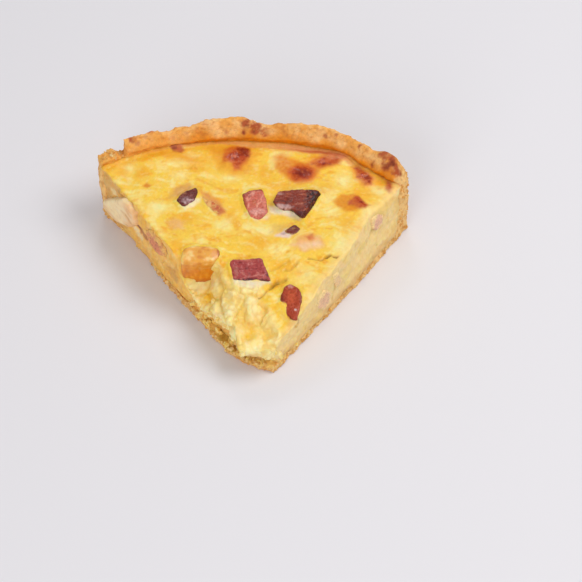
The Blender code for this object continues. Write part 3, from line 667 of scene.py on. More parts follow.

# browned and coloured patches of the skin, with a painted shadow and a painted highlight beside one piece of
# ham: outline, edge softness, colour, strength
SKIN_PATCHES = (
    ([(-24, 109), (-19, 111), (-3.5, 110.5), (-3.5, 101.5), (-4.8, 94.4), (-11.6, 92.5), (-18, 96),
      (-21, 103)], 6.0, TOAST_HALO, 0.8),
    ([(-17.5, 104.3), (-14.6, 108.6), (-10.3, 109.8), (-5.2, 108.9), (-5.5, 104.6),
      (-7.1, 100.3), (-8.3, 96.4), (-11.7, 95.6), (-13.5, 98.4), (-16.5, 99.9)], 2.4, TOAST_ORANGE, 0.9),
    ([(-16.0, 103.8), (-12.0, 106.6), (-9.6, 109.4), (-5.4, 108.6), (-6.2, 104.0), (-8.4, 99.6),
      (-9.2, 97.0), (-12.4, 98.0)], 2.4, TOAST_RED, 0.85),
    ([(-10.4, 108.8), (-6.0, 108.4), (-6.4, 104.4), (-8.4, 104.4)], 1.8, TOAST_DARK, 0.7),
    ([(5.2, 104), (8.7, 105.7), (13.8, 102.9), (20.7, 100.7), (25, 97.3), (24.1, 93),
      (20.7, 90), (15.6, 89.6), (10.5, 92.1), (6.2, 96.9)], 3.6, (230, 142, 36), 0.9),
    ([(10.4, 96), (14.6, 99.6), (20.7, 99.6), (23.8, 96.1), (22.3, 91.8), (17.3, 88.9), (12, 90.6)],
     3.2, TOAST_ORANGE, 0.9),
    ([(12.4, 95), (15.6, 97.8), (20.7, 97.8), (22.0, 95.6), (20.7, 92.4), (17.3, 90.6), (14, 91.4)],
     2.4, TOAST_RED, 0.9),
    ([(14.6, 95.8), (19.6, 97.0), (21.0, 94.8), (18.4, 92.0), (15.2, 92.6)], 2.2, TOAST_DARK, 0.75),
    ([(20.7, 100.7), (22.4, 103.8), (28.4, 106.1), (35.3, 104.8), (34, 100.8), (29.2, 98.4), (24.1, 97.2)],
     3.0, TOAST_ORANGE, 0.85),
    ([(22.0, 99.8), (24.4, 102.0), (29.4, 104.4), (33.8, 103.4), (32, 100.8), (26.2, 98.4)],
     2.2, TOAST_RED, 0.8),
    ([(25, 105.2), (35.3, 106), (35.6, 103.2), (29.2, 102.4)], 2.4, (228, 152, 104), 0.7),
    ([(38, 99), (42, 99.4), (46.6, 95.4), (48.8, 91.6), (46.6, 87.6), (43, 88), (40, 93.2)],
     3.2, (232, 144, 56), 0.9),
    ([(39.6, 98.6), (41.7, 98.4), (45.4, 95.4), (47.5, 92.1), (46.2, 88.8), (44, 89.1), (41.4, 93.2)],
     2.0, TOAST_RED, 0.85),
    ([(43.4, 94.6), (46.4, 92.4), (45.6, 89.8), (43.6, 91.4)], 1.6, TOAST_DARK, 0.6),
    ([(53.1, 92.1), (55.4, 89.8), (56.2, 87.6), (54.5, 84.0), (52.6, 86.3)], 2.0, (186, 84, 58), 0.85),
    ([(30.6, 79.3), (34.2, 82.6), (39.3, 83), (42.6, 78.8), (40, 74.4), (36.6, 73.4), (32.6, 75.6)],
     2.4, (230, 148, 20), 1.0),
    ([(37.0, 79.6), (41, 82.1), (45.9, 77.2), (44.2, 75.4), (40.8, 74.9), (37.0, 76.6)],
     1.8, (196, 84, 26), 0.9),
    ([(40.0, 80.8), (44.8, 77.4), (43.6, 76.0), (40.0, 78.2)], 1.4, TOAST_RED, 0.9),
    ([(-49.8, 86.2), (-48.2, 88.0), (-46.6, 86.2), (-48.2, 84.4)], 1.4, (224, 136, 8), 1.0),
    ([(-40.2, 108.6), (-38, 110), (-34.6, 109.2), (-33, 106.8), (-34.4, 104.8), (-38.2, 105.8)],
     1.2, (190, 86, 48), 0.9),
    ([(-39.4, 108.8), (-36.6, 109.4), (-36.2, 107.6), (-38.4, 107)], 1.2, (140, 56, 36), 0.8),
    ([(13.2, 55), (15.4, 58.6), (19.9, 61), (25.4, 59.4), (26.8, 55.3), (22.4, 52.8), (17.4, 52.8)],
     3.4, (238, 174, 110), 0.75),
    ([(14.6, 55.4), (18.4, 55.6), (24.2, 57.4), (25.6, 54.8), (19, 52.6)], 3.2, (248, 212, 178), 0.7),
    ([(18.6, 59.0), (21.5, 60.4), (23.0, 58.4), (20.4, 56.8)], 2.0, (214, 116, 60), 0.85),
    # beside the small dark piece of ham: an olive painted shadow on its left, then a lilac-white painted
    # highlight
    ([(3.6, 60.4), (5.4, 65.4), (11.6, 66.4), (12.8, 64.4), (8.0, 61.6)], 3.4, (212, 174, 90), 0.5),
    ([(6.0, 59.4), (9.2, 62.6), (13.0, 62.4), (14.0, 60.2), (9.6, 58.6)], 1.8, (232, 208, 204), 0.85),
    ([(8.4, 61.2), (11.4, 62.8), (12.4, 62.0), (9.6, 60.4)], 1.0, (150, 104, 112), 0.6),
    ([(-10.6, 38.8), (4.5, 38.8), (5.0, 37.4), (-3.6, 36.4), (-10, 37.2)], 1.8, (244, 228, 200), 0.8),
    ([(3.0, 75.6), (9, 74.4), (15.4, 71.4), (16.8, 68.4), (11.4, 70.2), (3.8, 72.4)],
     2.6, (250, 234, 216), 0.8),
    ([(-38.5, 79), (-37.0, 84.4), (-31.4, 87.6), (-28.4, 86.4), (-33, 80)], 3.2, (214, 154, 84), 0.75),
    ([(-33.4, 74.4), (-27, 78.6), (-25.0, 80), (-25.4, 77), (-31.5, 72.0)], 1.8, (252, 234, 192), 0.85),
    ([(-26.5, 84), (-22, 81.6), (-18, 78), (-14.4, 71.4), (-17, 70.4), (-22, 76)], 2.6, (226, 146, 74), 0.85),
    ([(-20.6, 75.4), (-17.6, 76.0), (-14.8, 71.6), (-17.2, 71.0)], 2.0, (196, 92, 56), 0.7),
    ([(-39, 66), (-36, 68.4), (-31.5, 66.4), (-31, 62.4), (-35, 62)], 3.4, (238, 182, 120), 0.7),
    ([(-50, 103), (-46, 107), (-38, 106), (-28, 103), (-27, 99.6), (-34, 101), (-43, 102.6)],
     4.0, (236, 164, 30), 0.75),
    ([(-61.4, 93), (-60, 96), (-57, 95.6), (-57.4, 91)], 3.0, (238, 170, 40), 0.6),
    ([(-6.5, 71), (-2, 67.4), (3, 68.4), (4.4, 71.5), (0, 69.6), (-4, 71.4)], 2.4, (246, 212, 180), 0.7),
)
# paler and deeper yellow places of the skin, the paler ones partly a painted soft sheen: place, reach across
# and along
CREAM_SPOTS = (
    (-42, 74, 5, 3), (-15, 65, 5, 4), (-57, 97, 4, 3), (34.8, 92, 4, 5), (-37, 99, 7, 2), (-52, 75, 3, 5),
    (-34, 92, 3, 2), (-13, 91, 4, 2), (49.5, 86, 4, 4), (40, 61, 6, 6), (8, 53, 6, 3), (-43, 61, 4, 4),
    (29, 74, 4, 4), (-6, 63, 5, 3), (46, 72, 4, 6), (34, 55, 5, 6), (20, 41, 6, 5),
    (-24, 57, 5, 2), (2, 62, 6, 3),
)
AMBER_SPOTS = (
    (-51, 94, 3, 4), (-31, 69, 4, 3), (1, 95, 4, 5), (-18, 78, 3, 3), (36, 67, 4, 5), (0, 56, 6, 4),
    (11, 46, 6, 3), (-34, 54, 3, 3), (-27, 98, 5, 3), (-50, 70, 3, 3), (26, 86, 4, 3),
    (-30, 104, 8, 3), (14, 62, 5, 3), (2, 74, 2, 5),
    (-12, 70, 3, 4), (44, 84, 5, 3), (50, 90, 3, 3), (16, 42, 4, 2), (8, 88, 8, 3),
)


def paint_custard():
    """Colour of each corner of the filling, skin first and cut faces last. Stores where it's greasy."""
    level = places * (1, 1, 0)
    flow = level + np.column_stack((grain(level, 0.015, 71), grain(level, 0.015, 72), level[:, 2])) * 0.008
    cream = 1.2 * grain(flow * (0.9, 1.5, 1), 0.0080, 73) + 0.8 * grain(flow * (0.8, 1.6, 1), 0.0032, 74)
    brushed = grain(flow * (0.6, 1.5, 1), 0.0014, 76)
    speck = grain(places, 0.0012, 75)
    colours = np.tile(tone(SKIN_YELLOW), (len(places), 1))
    # cream streaks over the yellow skin: partly its own paler colour and partly a painted soft sheen
    creamy = 0.7 * rise(cream + 0.5 * brushed, 0.20, 0.80)
    for x, y, reach_x, reach_y in CREAM_SPOTS:
        here = spot(flat + wander, x, y, reach_x, reach_y)
        creamy = np.maximum(creamy, here * (0.8 + 0.6 * cream + 0.4 * brushed))
    colours = blend(colours, creamy * 0.9, SKIN_CREAM)
    golden = 0.75 * rise(-cream + 0.5 * brushed, 0.20, 0.80)
    for x, y, reach_x, reach_y in AMBER_SPOTS:
        golden = np.maximum(golden, 0.8 * spot(flat + wander, x, y, reach_x, reach_y) * (0.8 - 0.5 * cream))
    golden = np.maximum(golden, 0.7 * (1 - rise(off_wall, 0.5, 6.0)))
    colours = blend(colours, golden, SKIN_AMBER)
    colours = blend(colours, rise(speck + 0.7 * brushed, 0.15, 0.75) * 0.35, SKIN_CREAM)
    colours = blend(colours, rise(-speck + 0.7 * dimples, 0.25, 0.85) * 0.25, SKIN_AMBER)
    off_right = np.radians(right_cut(radius, places[:, 2]) - angle) * radius / MM
    colours = blend(colours, (1 - rise(off_right + 1.5 * dimples, 0.5, 5.0)) * 0.6, CUT_CREAM)
    curdled = torn * (0.8 + 0.3 * small_lumps)
    colours = blend(colours, curdled, CURD)
    colours = blend(colours, torn * (1 - curds) * 0.45, CURD_YELLOW)
    creases = rise(0.5 - curds + 0.4 * dimples, 0.2, 0.6)
    colours = blend(colours, torn * creases * (0.28 + 0.3 * speck), CURD_SHADE)
    colours = blend(colours, torn * rise(0.35 * speck - lumps, 0.1, 0.6) * 0.6, CURD_YELLOW)
    colours = blend(colours, torn * (1 - small_curds) * rise(0.3 - lumps, 0.0, 0.4) * 0.35, CURD_SHADE)
    for x, y, reach_x, reach_y, colour, strength, speckle in CRAG_SPOTS:
        here = torn * spot(flat, x, y, reach_x, reach_y)
        colours = blend(colours, here * (strength + speckle * speck), colour)
    baked_dark = np.zeros(len(places))
    for outline, soft, colour, strength in SKIN_PATCHES:
        patchy = inside(flat + wander, list(outline), soft)
        patchy *= 1 + 0.30 * speck + 0.35 * dimples * (1 - patchy)
        colours = blend(colours, patchy * strength * rise(height, 12, 16), colour)
        if colour in (TOAST_RED, TOAST_DARK):
            baked_dark = np.maximum(baked_dark, patchy)
    colours = blend(colours, baked_dark * rise(dimples + 0.6 * speck, 0.15, 0.6) * 0.6, TOAST_DARK)
    # pale specks in the browned patches: partly their own mottle and partly painted glints
    colours = blend(colours, baked_dark * rise(-dimples - 0.8 * speck, 0.3, 0.75) * 0.45, TOAST_PALE)
    set_share(custard_mesh, "greasy", baked_dark)
    strip_width = 1.2 + 2.4 * rise(angle, -12, 4)
    strip = rise(off_wall, 0.3, 1.0) * (1 - rise((off_wall + 0.8 * streaks) / strip_width, 0.75, 1.25))
    strip *= rise(angle, -28, -22) * (1 - rise(angle, 17, 24))
    toward_right = rise(angle, 0, 8)
    colours = blend(colours, strip * (0.55 + 0.25 * toward_right), SKIN_PINK)
    colours = blend(colours, strip * rise(streaks, -0.1, 0.5) * (0.3 + 0.4 * toward_right), TOAST_RED)
    line_strength = 0.25 + 0.45 * rise(angle, -30, -12)
    colours = blend(colours, (1 - rise(off_wall + 0.3 * speck, 0.2, 0.9)) * line_strength, LINE_BROWN)
    colours = blend(colours, np.exp(-(((bubble - 0.9) / 0.4) ** 2)) * 0.6, TOAST_HALO)
    # each crack is darkened to olive as painted shade
    for line, width, depth, darkness in CRACKS:
        dark = np.exp(-((off_line(crooked, line) / (width * 0.9)) ** 2))
        colours = blend(colours, dark * darkness * (1 + 0.5 * speck), CRACK_SHADE)
    ragged = rise(normals[:, 2] + 0.30 * dimples + 0.15 * speck, 0.25, 0.75)
    side = (1 - ragged) * (1 - torn * rise(height, 9, 13))
    cut = np.tile(tone(CUT_CREAM), (len(places), 1))
    cut = blend(cut, rise(small_lumps + 0.4 * soft_waves, -0.2, 0.7) * 0.5, SKIN_CREAM)
    cut = blend(cut, rise(soft_waves, 0.05, 0.5) * 0.35, CURD_YELLOW)
    cut = blend(cut, np.maximum(pits * 0.35, (1 - small_curds) * 0.14), CURD_SHADE)
    cut = blend(cut, (1 - rise(height + 1.5 * soft_waves, 4.5, 9.0)) * 0.65, CUT_TAN)
    hanging = grain(np.column_stack((radius, places[:, 2] * 0.3, radius * 0)), 0.0022, 77)
    near_shell = rise(angle, 10, 20) * rise(radius / MM, 70, 104)
    cut = blend(cut, near_shell * rise(soft_waves + 0.7 * dimples, -0.1, 0.5) * 0.5, RIGHT_RIM_TAN)
    # the left cut face, turned away from the key lamp, is painted deeper gold with tan streaks than the right
    # one: partly the colour of the cut and partly painted shade
    on_left = rise(-angle, 20, 30)
    cut = blend(cut, on_left * (0.65 + 0.35 * soft_waves), LEFT_GOLD)
    cut = blend(cut, on_left * rise(hanging + 0.5 * speck, 0.15, 0.7) * 0.45, LEFT_TAN)
    cut = blend(cut, on_left * rise(-hanging + 0.5 * speck, 0.30, 0.8) * 0.45, SKIN_CREAM)
    cut = blend(cut, on_left * rise(radius / MM + 2 * soft_waves, 92, 106) * 0.5, LEFT_RIM_TAN)
    for along, up, reach_along, reach_up, colour, strength in LEFT_MARKS_AND_SHADE:
        mark = np.exp(-(((radius / MM - along) / reach_along) ** 2) - (((height - up) / reach_up) ** 2))
        ragged_mark = rise(mark * (1 + 0.5 * dimples + 0.3 * speck), 0.25, 0.6)
        cut = blend(cut, on_left * ragged_mark * strength, colour)
    colours = colours * (1 - side[:, None]) + cut * side[:, None]
    under_lip = spot(flat, -5, 13, 5, 6) * (1 - rise(height + 0.6 * speck + 1.2 * dimples, 10.0, 12.5))
    return blend(colours, under_lip * (1 + 0.4 * speck), LIP_SHADE)


set_paint(custard_mesh, paint_custard())
set_share(custard_mesh, "curdy", (1 - upward) * torn * (1 - rise(height, 10, 16)) * free)
custard_mesh.shade_smooth()
custard = added("custard", custard_mesh)
custard_material = painted_material(
    "egg custard", 0.46, 0.05, 0.0014, 0.00026, 0.0016, sheen_of_fat=0.08, juice=0.5, wet=0.3
)
custard_mesh.materials.append(custard_material)
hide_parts("custard_filling")
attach(custard, "root")

# Ham: cubes and strips of cured, smoked belly and ham, fried and then baked in. Those in the
# skin are dark and glossy, with paler marbling. Those in the cut faces are pale and fibrous.
HAM_VOXEL = 0.00026
HAM_RELIEF = {"Relief": 0.00026, "Grain": 0.0030, "Fine Relief": 0.00010, "Fine Grain": 0.0009, "Foot": 0.0}
# colour of top, of sides (darker, partly painted shade) and of marbling, direction of its fibres in degrees,
# share of marbling
HAM = {
    "lardon_left_dark": ((104, 34, 26), (62, 16, 22), (172, 96, 88), 20, 0.40),
    "lardon_left_sunk": ((204, 98, 46), (190, 88, 44), (236, 152, 84), -50, 0.45),
    "lardon_centre_pink": ((206, 102, 82), (156, 58, 40), (244, 176, 152), 75, 0.60),
    "lardon_large_dark": ((136, 48, 28), (62, 14, 12), (196, 112, 80), 10, 0.50),
    "lardon_small_dark": ((116, 40, 24), (60, 14, 16), (176, 100, 84), 10, 0.35),
    "lardon_front_square": ((168, 66, 64), (92, 20, 28), (222, 146, 130), 15, 0.55),
    "lardon_front_drop": ((172, 64, 34), (124, 34, 22), (206, 104, 64), 60, 0.35),
    "ham_left_cut": ((228, 146, 106), (224, 140, 98), (144, 60, 44), 25, 0.80),
    "ham_right_outer": ((234, 184, 150), (234, 184, 150), (226, 160, 136), 40, 0.50),
    "ham_right_middle": ((240, 202, 148), (240, 200, 146), (232, 180, 140), 60, 0.40),
    "ham_right_inner": ((240, 194, 154), (238, 192, 152), (226, 164, 136), 45, 0.50),
}
# marks on the ham of the skin, the small pale lilac and whitish ones painted glints: place, reach across and
# along the slice, colour, strength
HAM_MARKS_AND_GLINTS = {
    "lardon_left_dark": (
        (-34.6, 82.2, 3.2, 2.2, (214, 148, 84), 0.8), (-29.6, 77.4, 1.6, 0.8, (222, 196, 196), 0.6),
        (-31.8, 75.6, 1.0, 0.7, (222, 196, 198), 0.6), (-31.0, 77.0, 3.0, 1.8, (206, 168, 174), 0.45),
    ),
    "lardon_left_sunk": (
        (-18.6, 73.2, 2.2, 2.0, (192, 84, 48), 0.7), (-24.0, 79.4, 3.0, 3.0, (226, 160, 92), 0.6),
    ),
    "lardon_centre_pink": (
        (-6.8, 82.0, 3.0, 3.4, (134, 38, 24), 0.8), (-1.0, 83.6, 5.0, 0.8, (150, 46, 30), 0.8),
        (-7.0, 77.0, 1.2, 4.0, (160, 62, 44), 0.7), (-1.0, 71.4, 3.6, 2.4, (232, 170, 160), 0.6),
        (-2.6, 76.4, 1.4, 1.8, (190, 98, 50), 0.5), (1.6, 76.0, 1.2, 4.0, (232, 144, 122), 0.6),
    ),
    "lardon_large_dark": (
        (23.4, 77.0, 5.0, 9.0, (42, 8, 12), 0.95), (13.0, 84.8, 9.0, 0.8, (74, 18, 12), 0.85),
        (8.4, 73.2, 5.0, 1.5, (222, 184, 178), 0.7), (8.0, 80.4, 1.6, 1.3, (206, 150, 134), 0.6),
        (19.4, 74.0, 1.6, 3.4, (92, 24, 18), 0.6), (17.4, 69.4, 3.0, 3.4, (66, 18, 26), 0.8),
    ),
    "lardon_small_dark": ((11.6, 60.0, 2.0, 0.7, (222, 196, 196), 0.8),),
    "lardon_front_square": (
        (-3.0, 38.2, 7.0, 0.9, (60, 20, 30), 0.9), (-6.0, 46.8, 5.0, 0.8, (206, 110, 92), 0.6),
        (-9.4, 41.0, 1.0, 3.0, (196, 120, 104), 0.5), (3.6, 40.6, 1.0, 1.0, (70, 20, 34), 0.8),
    ),
    "lardon_front_drop": (
        (13.4, 30.4, 1.9, 3.4, (206, 92, 54), 0.7), (12.6, 35.4, 1.8, 1.2, (216, 160, 146), 0.6),
        (9.6, 29.0, 1.0, 4.0, (110, 38, 28), 0.7), (17.4, 30.0, 0.8, 4.0, (120, 44, 34), 0.6),
        (15.2, 25.6, 0.7, 0.7, (236, 206, 204), 0.8), (16.6, 23.6, 1.0, 1.2, (190, 70, 40), 0.7),
    ),
}
EGG_FILM = (244, 202, 112)
LEFT_FILM = (238, 188, 104)
RIGHT_FILM = (247, 213, 148)


def ham_paint(mesh, top, side, marbling, fibres, share, seed):
    """Meat darker on its sides than on top, partly seared and partly painted shade, with marbling drawn out
    along its fibres.
    """
    places, normals = corners(mesh), facing(mesh)
    turn = math.radians(fibres)
    along = places @ (math.cos(turn), math.sin(turn), 0.0)
    across = places @ (-math.sin(turn), math.cos(turn), 0.0)
    drawn = np.column_stack((along * 0.3, across, places[:, 2]))
    veins = grain(drawn, 0.0013, seed) + 0.6 * grain(drawn, 0.0006, seed + 1)
    broad = grain(places, 0.0034, seed + 2)
    colours = np.tile(tone(top), (len(places), 1))
    # sides darker than the top: partly seared colour, partly painted shade
    colours = blend(colours, (1 - rise(normals[:, 2] + 0.15 * broad, 0.0, 0.6)) * 0.85, side)
    colours = blend(colours, rise(veins, 0.10, 0.65) * share, marbling)
    return blend(colours, rise(-veins - 0.3 * broad, 0.2, 0.7) * share * 0.9, side)


def ham_finish(mesh, colours, marks, seed):
    """Seared and fatty marks with painted glints among them, and the film of egg that clings low on each
    piece.
    """
    places = corners(mesh)
    flat = (places - CUTS_MEET)[:, :2] / MM
    speck = grain(places, 0.0009, seed)
    uneven = grain(places, 0.0022, seed + 1)
    for x, y, reach_x, reach_y, colour, strength in marks:
        mark = spot(flat, x, y, reach_x, reach_y) * (1 + 0.9 * speck + 0.4 * uneven)
        colours = blend(colours, rise(mark, 0.15, 0.95) * strength, colour)
    above_skin = (places[:, 2] - skin_height(*(flat.T * MM))) / MM
    return blend(colours, (1 - rise(above_skin + 0.5 * uneven, 0.0, 0.6)) * 0.8, EGG_FILM)


def ham_edges(mesh, colours, film, seed):
    """Egg that clings unevenly round the edge of a piece in a cut face."""
    places = corners(mesh)
    face = np.column_stack((turned(places)[0], places[:, 2]))
    middle = (face.max(axis=0) + face.min(axis=0)) / 2
    reach = (face.max(axis=0) - face.min(axis=0)) / 2
    off_middle = np.hypot(*((face - middle) / reach).T)
    uneven = grain(places, 0.0024, seed) + 0.6 * grain(places, 0.0010, seed + 1)
    return blend(colours, rise(off_middle + 0.45 * uneven, 0.45, 0.95) * 0.95, film)


for seed, (node, look) in enumerate(HAM.items()):
    in_skin = node.startswith("lardon")
    roughness, fat, bump = (0.32, 0.22, 0.00044) if in_skin else (0.5, 0.05, 0.00026)
    material = painted_material(
        node.replace("_", " "), roughness, 0.20, 0.0009, bump, 0.0011, sheen_of_fat=fat, juice=0.05, wet=0.3
    )
    ham = from_solid(node + "_meat", node, HAM_VOXEL, 4, {**HAM_RELIEF, "Seed": float(seed)}, material)
    colours = ham_paint(ham.data, *look, 80 + 3 * seed)
    if in_skin:
        colours = ham_finish(ham.data, colours, HAM_MARKS_AND_GLINTS.get(node, ()), 180 + 3 * seed)
    else:
        film = LEFT_FILM if node == "ham_left_cut" else RIGHT_FILM
        colours = ham_edges(ham.data, colours, film, 180 + 3 * seed)
    set_paint(ham.data, colours)
    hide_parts(node)
    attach(ham, "root")

# Two chunks, vegetable by their look: a roasted golden one that stands bare where the filling
# fell away in front of it, and a pale soft one that was cut through by the knife at the left.
CHUNK_VOXEL = 0.00034
CHUNK_RELIEF = {"Relief": 0.00020, "Grain": 0.0034, "Fine Relief": 0.00010, "Fine Grain": 0.0010, "Foot": 0.0}
CHUNK_GOLD = (226, 134, 2)
CHUNK_BRIGHT = (248, 176, 60)
CHUNK_STREAK = (192, 96, 8)
CHUNK_FOOT = (184, 84, 8)
CHUNK_TOP = (238, 172, 70)
CHUNK_CREAM = (254, 220, 146)
CHUNK_SEARED = (214, 126, 30)
CHUNK_EDGE = (176, 84, 34)
CHUNK_PEACH = (244, 178, 122)
CHUNK_FILM = (248, 208, 110)
PALE_FLESH_AND_LIGHT = (254, 224, 172)
PALE_TAN = (236, 178, 118)
PALE_LIGHT = (255, 238, 204)
PALE_BROWN = (196, 138, 86)
PALE_FOOT = (226, 172, 112)
# roughness, sheen of fat and juice of each
CHUNKS = {"golden_chunk": (0.38, 0.18, 0.30), "pale_chunk": (0.58, 0.05, 0.25)}
for seed, (node, (roughness, fat, juice)) in enumerate(CHUNKS.items()):
    material = painted_material(
        node.replace("_", " "), roughness, 0.05, 0.0014, 0.00016, 0.0012, sheen_of_fat=fat, juice=juice
    )
    relief = {**CHUNK_RELIEF, "Seed": 20.0 + seed}
    chunk = from_solid(node + "_cooked", node, CHUNK_VOXEL, 3, relief, material)
    chunk_places = corners(chunk.data)
    layers = grain(chunk_places * (1, 1, 2.2), 0.0040, 130 + seed)
    specks = grain(chunk_places, 0.0016, 133 + seed)
    chunk_flat = (chunk_places - CUTS_MEET)[:, :2] / MM
    chunk_height = chunk_places[:, 2] / MM
    drawn_down = grain(chunk_places * (1, 1, 0.3), 0.0012, 136 + seed)
    if node == "golden_chunk":
        # lighter honey on top than on its amber front, with cream patches on top: partly roasted colour and
        # partly painted light and sheen
        on_top = rise(chunk_height + 1.4 * layers + 0.7 * specks, 21.5, 27.5)
        colours = np.tile(tone(CHUNK_GOLD), (len(chunk_places), 1))
        colours = blend(colours, rise(drawn_down, 0.0, 0.6) * 0.5, CHUNK_BRIGHT)
        colours = blend(colours, rise(-drawn_down, 0.1, 0.7) * 0.5, CHUNK_STREAK)
        colours = blend(colours, (1 - rise(chunk_height + layers, 13.5, 18.0)) * 0.8, CHUNK_FOOT)
        colours = blend(colours, on_top * 0.9, CHUNK_TOP)
        colours = blend(colours, on_top * rise(layers + 0.7 * specks, 0.0, 0.6) * 0.75, CHUNK_CREAM)
        colours = blend(colours, on_top * rise(-layers - 0.7 * specks, 0.1, 0.7) * 0.7, CHUNK_SEARED)
        right_edge = spot(chunk_flat, -16.4, 50.4, 1.6, 3.2) * (1 + 0.4 * specks)
        colours = blend(colours, rise(right_edge, 0.3, 0.7) * 0.8, CHUNK_EDGE)
        right_peach = spot(chunk_flat, -18.6, 48.6, 1.6, 2.6)
        colours = blend(colours, rise(right_peach, 0.4, 0.8) * 0.6, CHUNK_PEACH)
        back_film = rise(chunk_flat[:, 1] + 1.4 * layers + specks, 51.2, 53.4) * rise(chunk_height, 24, 26)
        left_film = rise(-chunk_flat[:, 0] + 1.2 * layers + specks, 30.6, 32.2) * rise(chunk_height, 24, 26)
        colours = blend(colours, np.maximum(back_film, left_film) * 0.9, CHUNK_FILM)
    else:
        # the pale chunk is painted very pale so that it reads as lit, standing out of the shaded left cut
        # face: partly its own cream flesh and partly painted light
        toward_right = rise(-chunk_flat[:, 1], -80, -74)
        veined = rise(-layers + 0.4 * specks, 0.2, 0.7) * (0.25 + 0.4 * toward_right)
        colours = np.tile(tone(PALE_FLESH_AND_LIGHT), (len(chunk_places), 1))
        colours = blend(colours, toward_right * 0.7, PALE_TAN)
        colours = blend(colours, rise(layers, 0.1, 0.6) * 0.4, PALE_LIGHT)
        colours = blend(colours, veined, PALE_BROWN)
        colours = blend(colours, (1 - rise(chunk_height + layers, 9.0, 11.5)) * 0.4, PALE_FOOT)
    set_paint(chunk.data, colours)
    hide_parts(node)
    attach(chunk, "root")

# Crumbs: bits of pastry that cling to the cut edges of the base, and curds that lie where the
# filling was torn. They are scattered over the piece that they lie on.
FLATTEST_CRUMB = (0.6, 0.6, 0.4)
FULLEST_CRUMB = (1.2, 1.0, 0.9)
ANY_TURN = (6.28, 6.28, 6.28)
CHIPS_PER_METRE = 1500.0


def crumb_tree():
    """Nodes that scatter uneven crumbs over a surface, more where it is crumbly."""
    numbers = dict.fromkeys(("Density", "Smallest", "Largest"), "Float")
    tree, given = started_tree("scattered crumbs", {**numbers, "Seed": "Int", "Share": "String"})
    make = node_maker(tree)
    share = make("GeometryNodeInputNamedAttribute", "Attribute", {"Name": given["Share"]}, data_type="FLOAT")
    density = make("ShaderNodeMath", 0, {0: share, 1: given["Density"]}, operation="MULTIPLY")
    strewn = {"Mesh": given["Geometry"], "Density": density, "Seed": given["Seed"]}
    points = make("GeometryNodeDistributePointsOnFaces", "Points", strewn)
    lump = make("GeometryNodeMeshIcoSphere", "Mesh", {"Radius": 1.0, "Subdivisions": 2})
    sizes = {2: given["Smallest"], 3: given["Largest"], "Seed": given["Seed"]}
    size = make("FunctionNodeRandomValue", 1, sizes)
    shapes = {0: FLATTEST_CRUMB, 1: FULLEST_CRUMB}
    squash = make("FunctionNodeRandomValue", 0, shapes, data_type="FLOAT_VECTOR")
    uneven = make("ShaderNodeVectorMath", 0, {0: squash, "Scale": size}, operation="SCALE")
    spin = make("FunctionNodeRandomValue", 0, {1: ANY_TURN}, data_type="FLOAT_VECTOR")
    on_points = {"Points": points, "Instance": lump, "Rotation": spin, "Scale": uneven}
    placed = make("GeometryNodeInstanceOnPoints", 0, on_points)
    lumps = make("GeometryNodeRealizeInstances", 0, {0: placed})
    position = make("GeometryNodeInputPosition", 0, {})
    chips = make("ShaderNodeTexNoise", "Color", {"Scale": CHIPS_PER_METRE, "Vector": position})
    centred = make("ShaderNodeVectorMath", 0, {0: chips, 1: (0.5, 0.5, 0.5)}, operation="SUBTRACT")
    offset = make("ShaderNodeVectorMath", 0, {0: centred, "Scale": given["Largest"]}, operation="SCALE")
    chipped = make("GeometryNodeSetPosition", 0, {"Geometry": lumps, "Offset": offset})
    return ended_tree(tree, make, chipped, given["Material"])


CRUMBS = crumb_tree()
# crumbs: name, piece under them, share, number per square metre, smallest and largest radius, slot,
# dark and light colour
CRUMB_KINDS = (
    ("pastry_crumbs", pastry, "crumbly", 1.5e6, 0.00035, 0.00085, "golden_pastry",
     (220, 158, 80), (246, 206, 138)),
    ("curds", custard, "curdy", 0.12e6, 0.00060, 0.00150, "egg_custard",
     (250, 212, 120), (255, 234, 170)),
    ("stray_curds", pastry, "curdy", 0.16e6, 0.00060, 0.00190, "egg_custard",
     (246, 202, 98), (254, 228, 152)),
)
for seed, kind in enumerate(CRUMB_KINDS, 5):
    name, under, share, density, smallest, largest, slot, dark, light = kind
    crumbs = added(name, under.data.copy())
    scatter = crumbs.modifiers.new("scattered crumbs", "NODES")
    scatter.node_group = CRUMBS
    material = painted_material(name.replace("_", " "), 0.6, 0.08, 0.0010, 0.0001, 0.0008, juice=0.2, wet=0.2)
    set_inputs(scatter, {"Density": density, "Smallest": smallest, "Largest": largest, "Share": share})
    set_inputs(scatter, {"Seed": seed, "Material": material})
    settled(crumbs)
    crumb_places = corners(crumbs.data)
    crumb_places[:, 2] = np.maximum(crumb_places[:, 2], 0.0)
    crumbs.data.vertices.foreach_set("co", crumb_places.ravel())
    crumbs.data.update()
    colours = np.tile(tone(dark), (len(crumb_places), 1))
    while crumbs.data.color_attributes:
        crumbs.data.color_attributes.remove(crumbs.data.color_attributes[0])
    set_paint(crumbs.data, blend(colours, rise(grain(crumb_places, 0.0016, 90 + seed), -0.3, 0.4), light))
    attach(crumbs, "root")

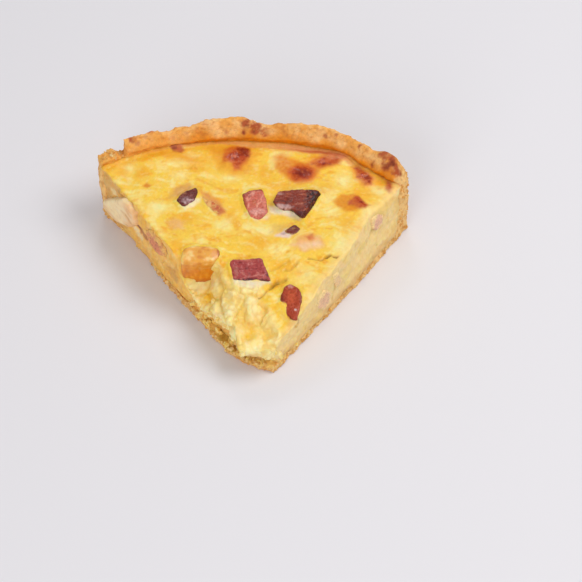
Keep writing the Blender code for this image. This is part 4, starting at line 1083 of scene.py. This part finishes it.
# Stage: a plain pale floor, large soft lamps and the camera at the photograph's angle.
FLOOR_SIZE = 6.0
FLOOR_LOOKS = {"Base Color": (0.80, 0.785, 0.825, 1.0), "Roughness": 0.55}
WORLD_LIGHT = {"Color": (1.0, 1.0, 1.0, 1.0), "Strength": 0.41}
CAMERA_PLACE = (0.0060, -0.5122, 0.6092)
CAMERA_AIM = (0.01685, -0.01155, 0.0)
CAMERA_ROLL = math.radians(2.13)
CAMERA_LENS = 115.3
SENSOR_WIDTH = 36.0
# lamps: name, place, size, power, colour
LAMPS = (
    ("key", (0.68, 0.11, 0.98), 0.8, 7.0, (1.0, 0.99, 0.97)),
    ("back", (-0.10, 0.95, 0.85), 0.3, 1.2, (1.0, 1.0, 1.0)),
    ("front fill", (-0.45, -1.00, 0.60), 0.8, 5.4, (1.0, 0.99, 0.98)),
)

floor_mesh = bpy.data.meshes.new("floor")
bm = bmesh.new()
bmesh.ops.create_grid(bm, x_segments=1, y_segments=1, size=FLOOR_SIZE / 2)
bm.to_mesh(floor_mesh)
bm.free()
floor = added("floor", floor_mesh)
floor_material = bpy.data.materials.new("pale floor")
floor_material.use_nodes = True
feed(floor_material.node_tree, floor_material.node_tree.nodes["Principled BSDF"], FLOOR_LOOKS)
floor_mesh.materials.append(floor_material)

aim = Vector(CAMERA_AIM)
for name, place, size, power, colour in LAMPS:
    lamp_data = bpy.data.lights.new(name, "AREA")
    lamp_data.shape = "DISK"
    lamp_data.size = size
    lamp_data.energy = power
    lamp_data.color = colour
    lamp = added(name, lamp_data)
    lamp.location = place
    lamp.rotation_mode = "QUATERNION"
    lamp.rotation_quaternion = (aim - Vector(place)).to_track_quat("-Z", "Y")

world = bpy.data.worlds.new("studio")
world.use_nodes = True
feed(world.node_tree, world.node_tree.nodes["Background"], WORLD_LIGHT)
bpy.context.scene.world = world
bpy.context.scene.view_settings.view_transform = "Standard"

camera_data = bpy.data.cameras.new("camera")
camera_data.lens = CAMERA_LENS
camera_data.sensor_width = SENSOR_WIDTH
camera = added("camera", camera_data)
camera.location = CAMERA_PLACE
camera.rotation_mode = "QUATERNION"
look = (aim - Vector(CAMERA_PLACE)).to_track_quat("-Z", "Y")
camera.rotation_quaternion = look @ Quaternion((0.0, 0.0, 1.0), CAMERA_ROLL)
bpy.context.scene.camera = camera
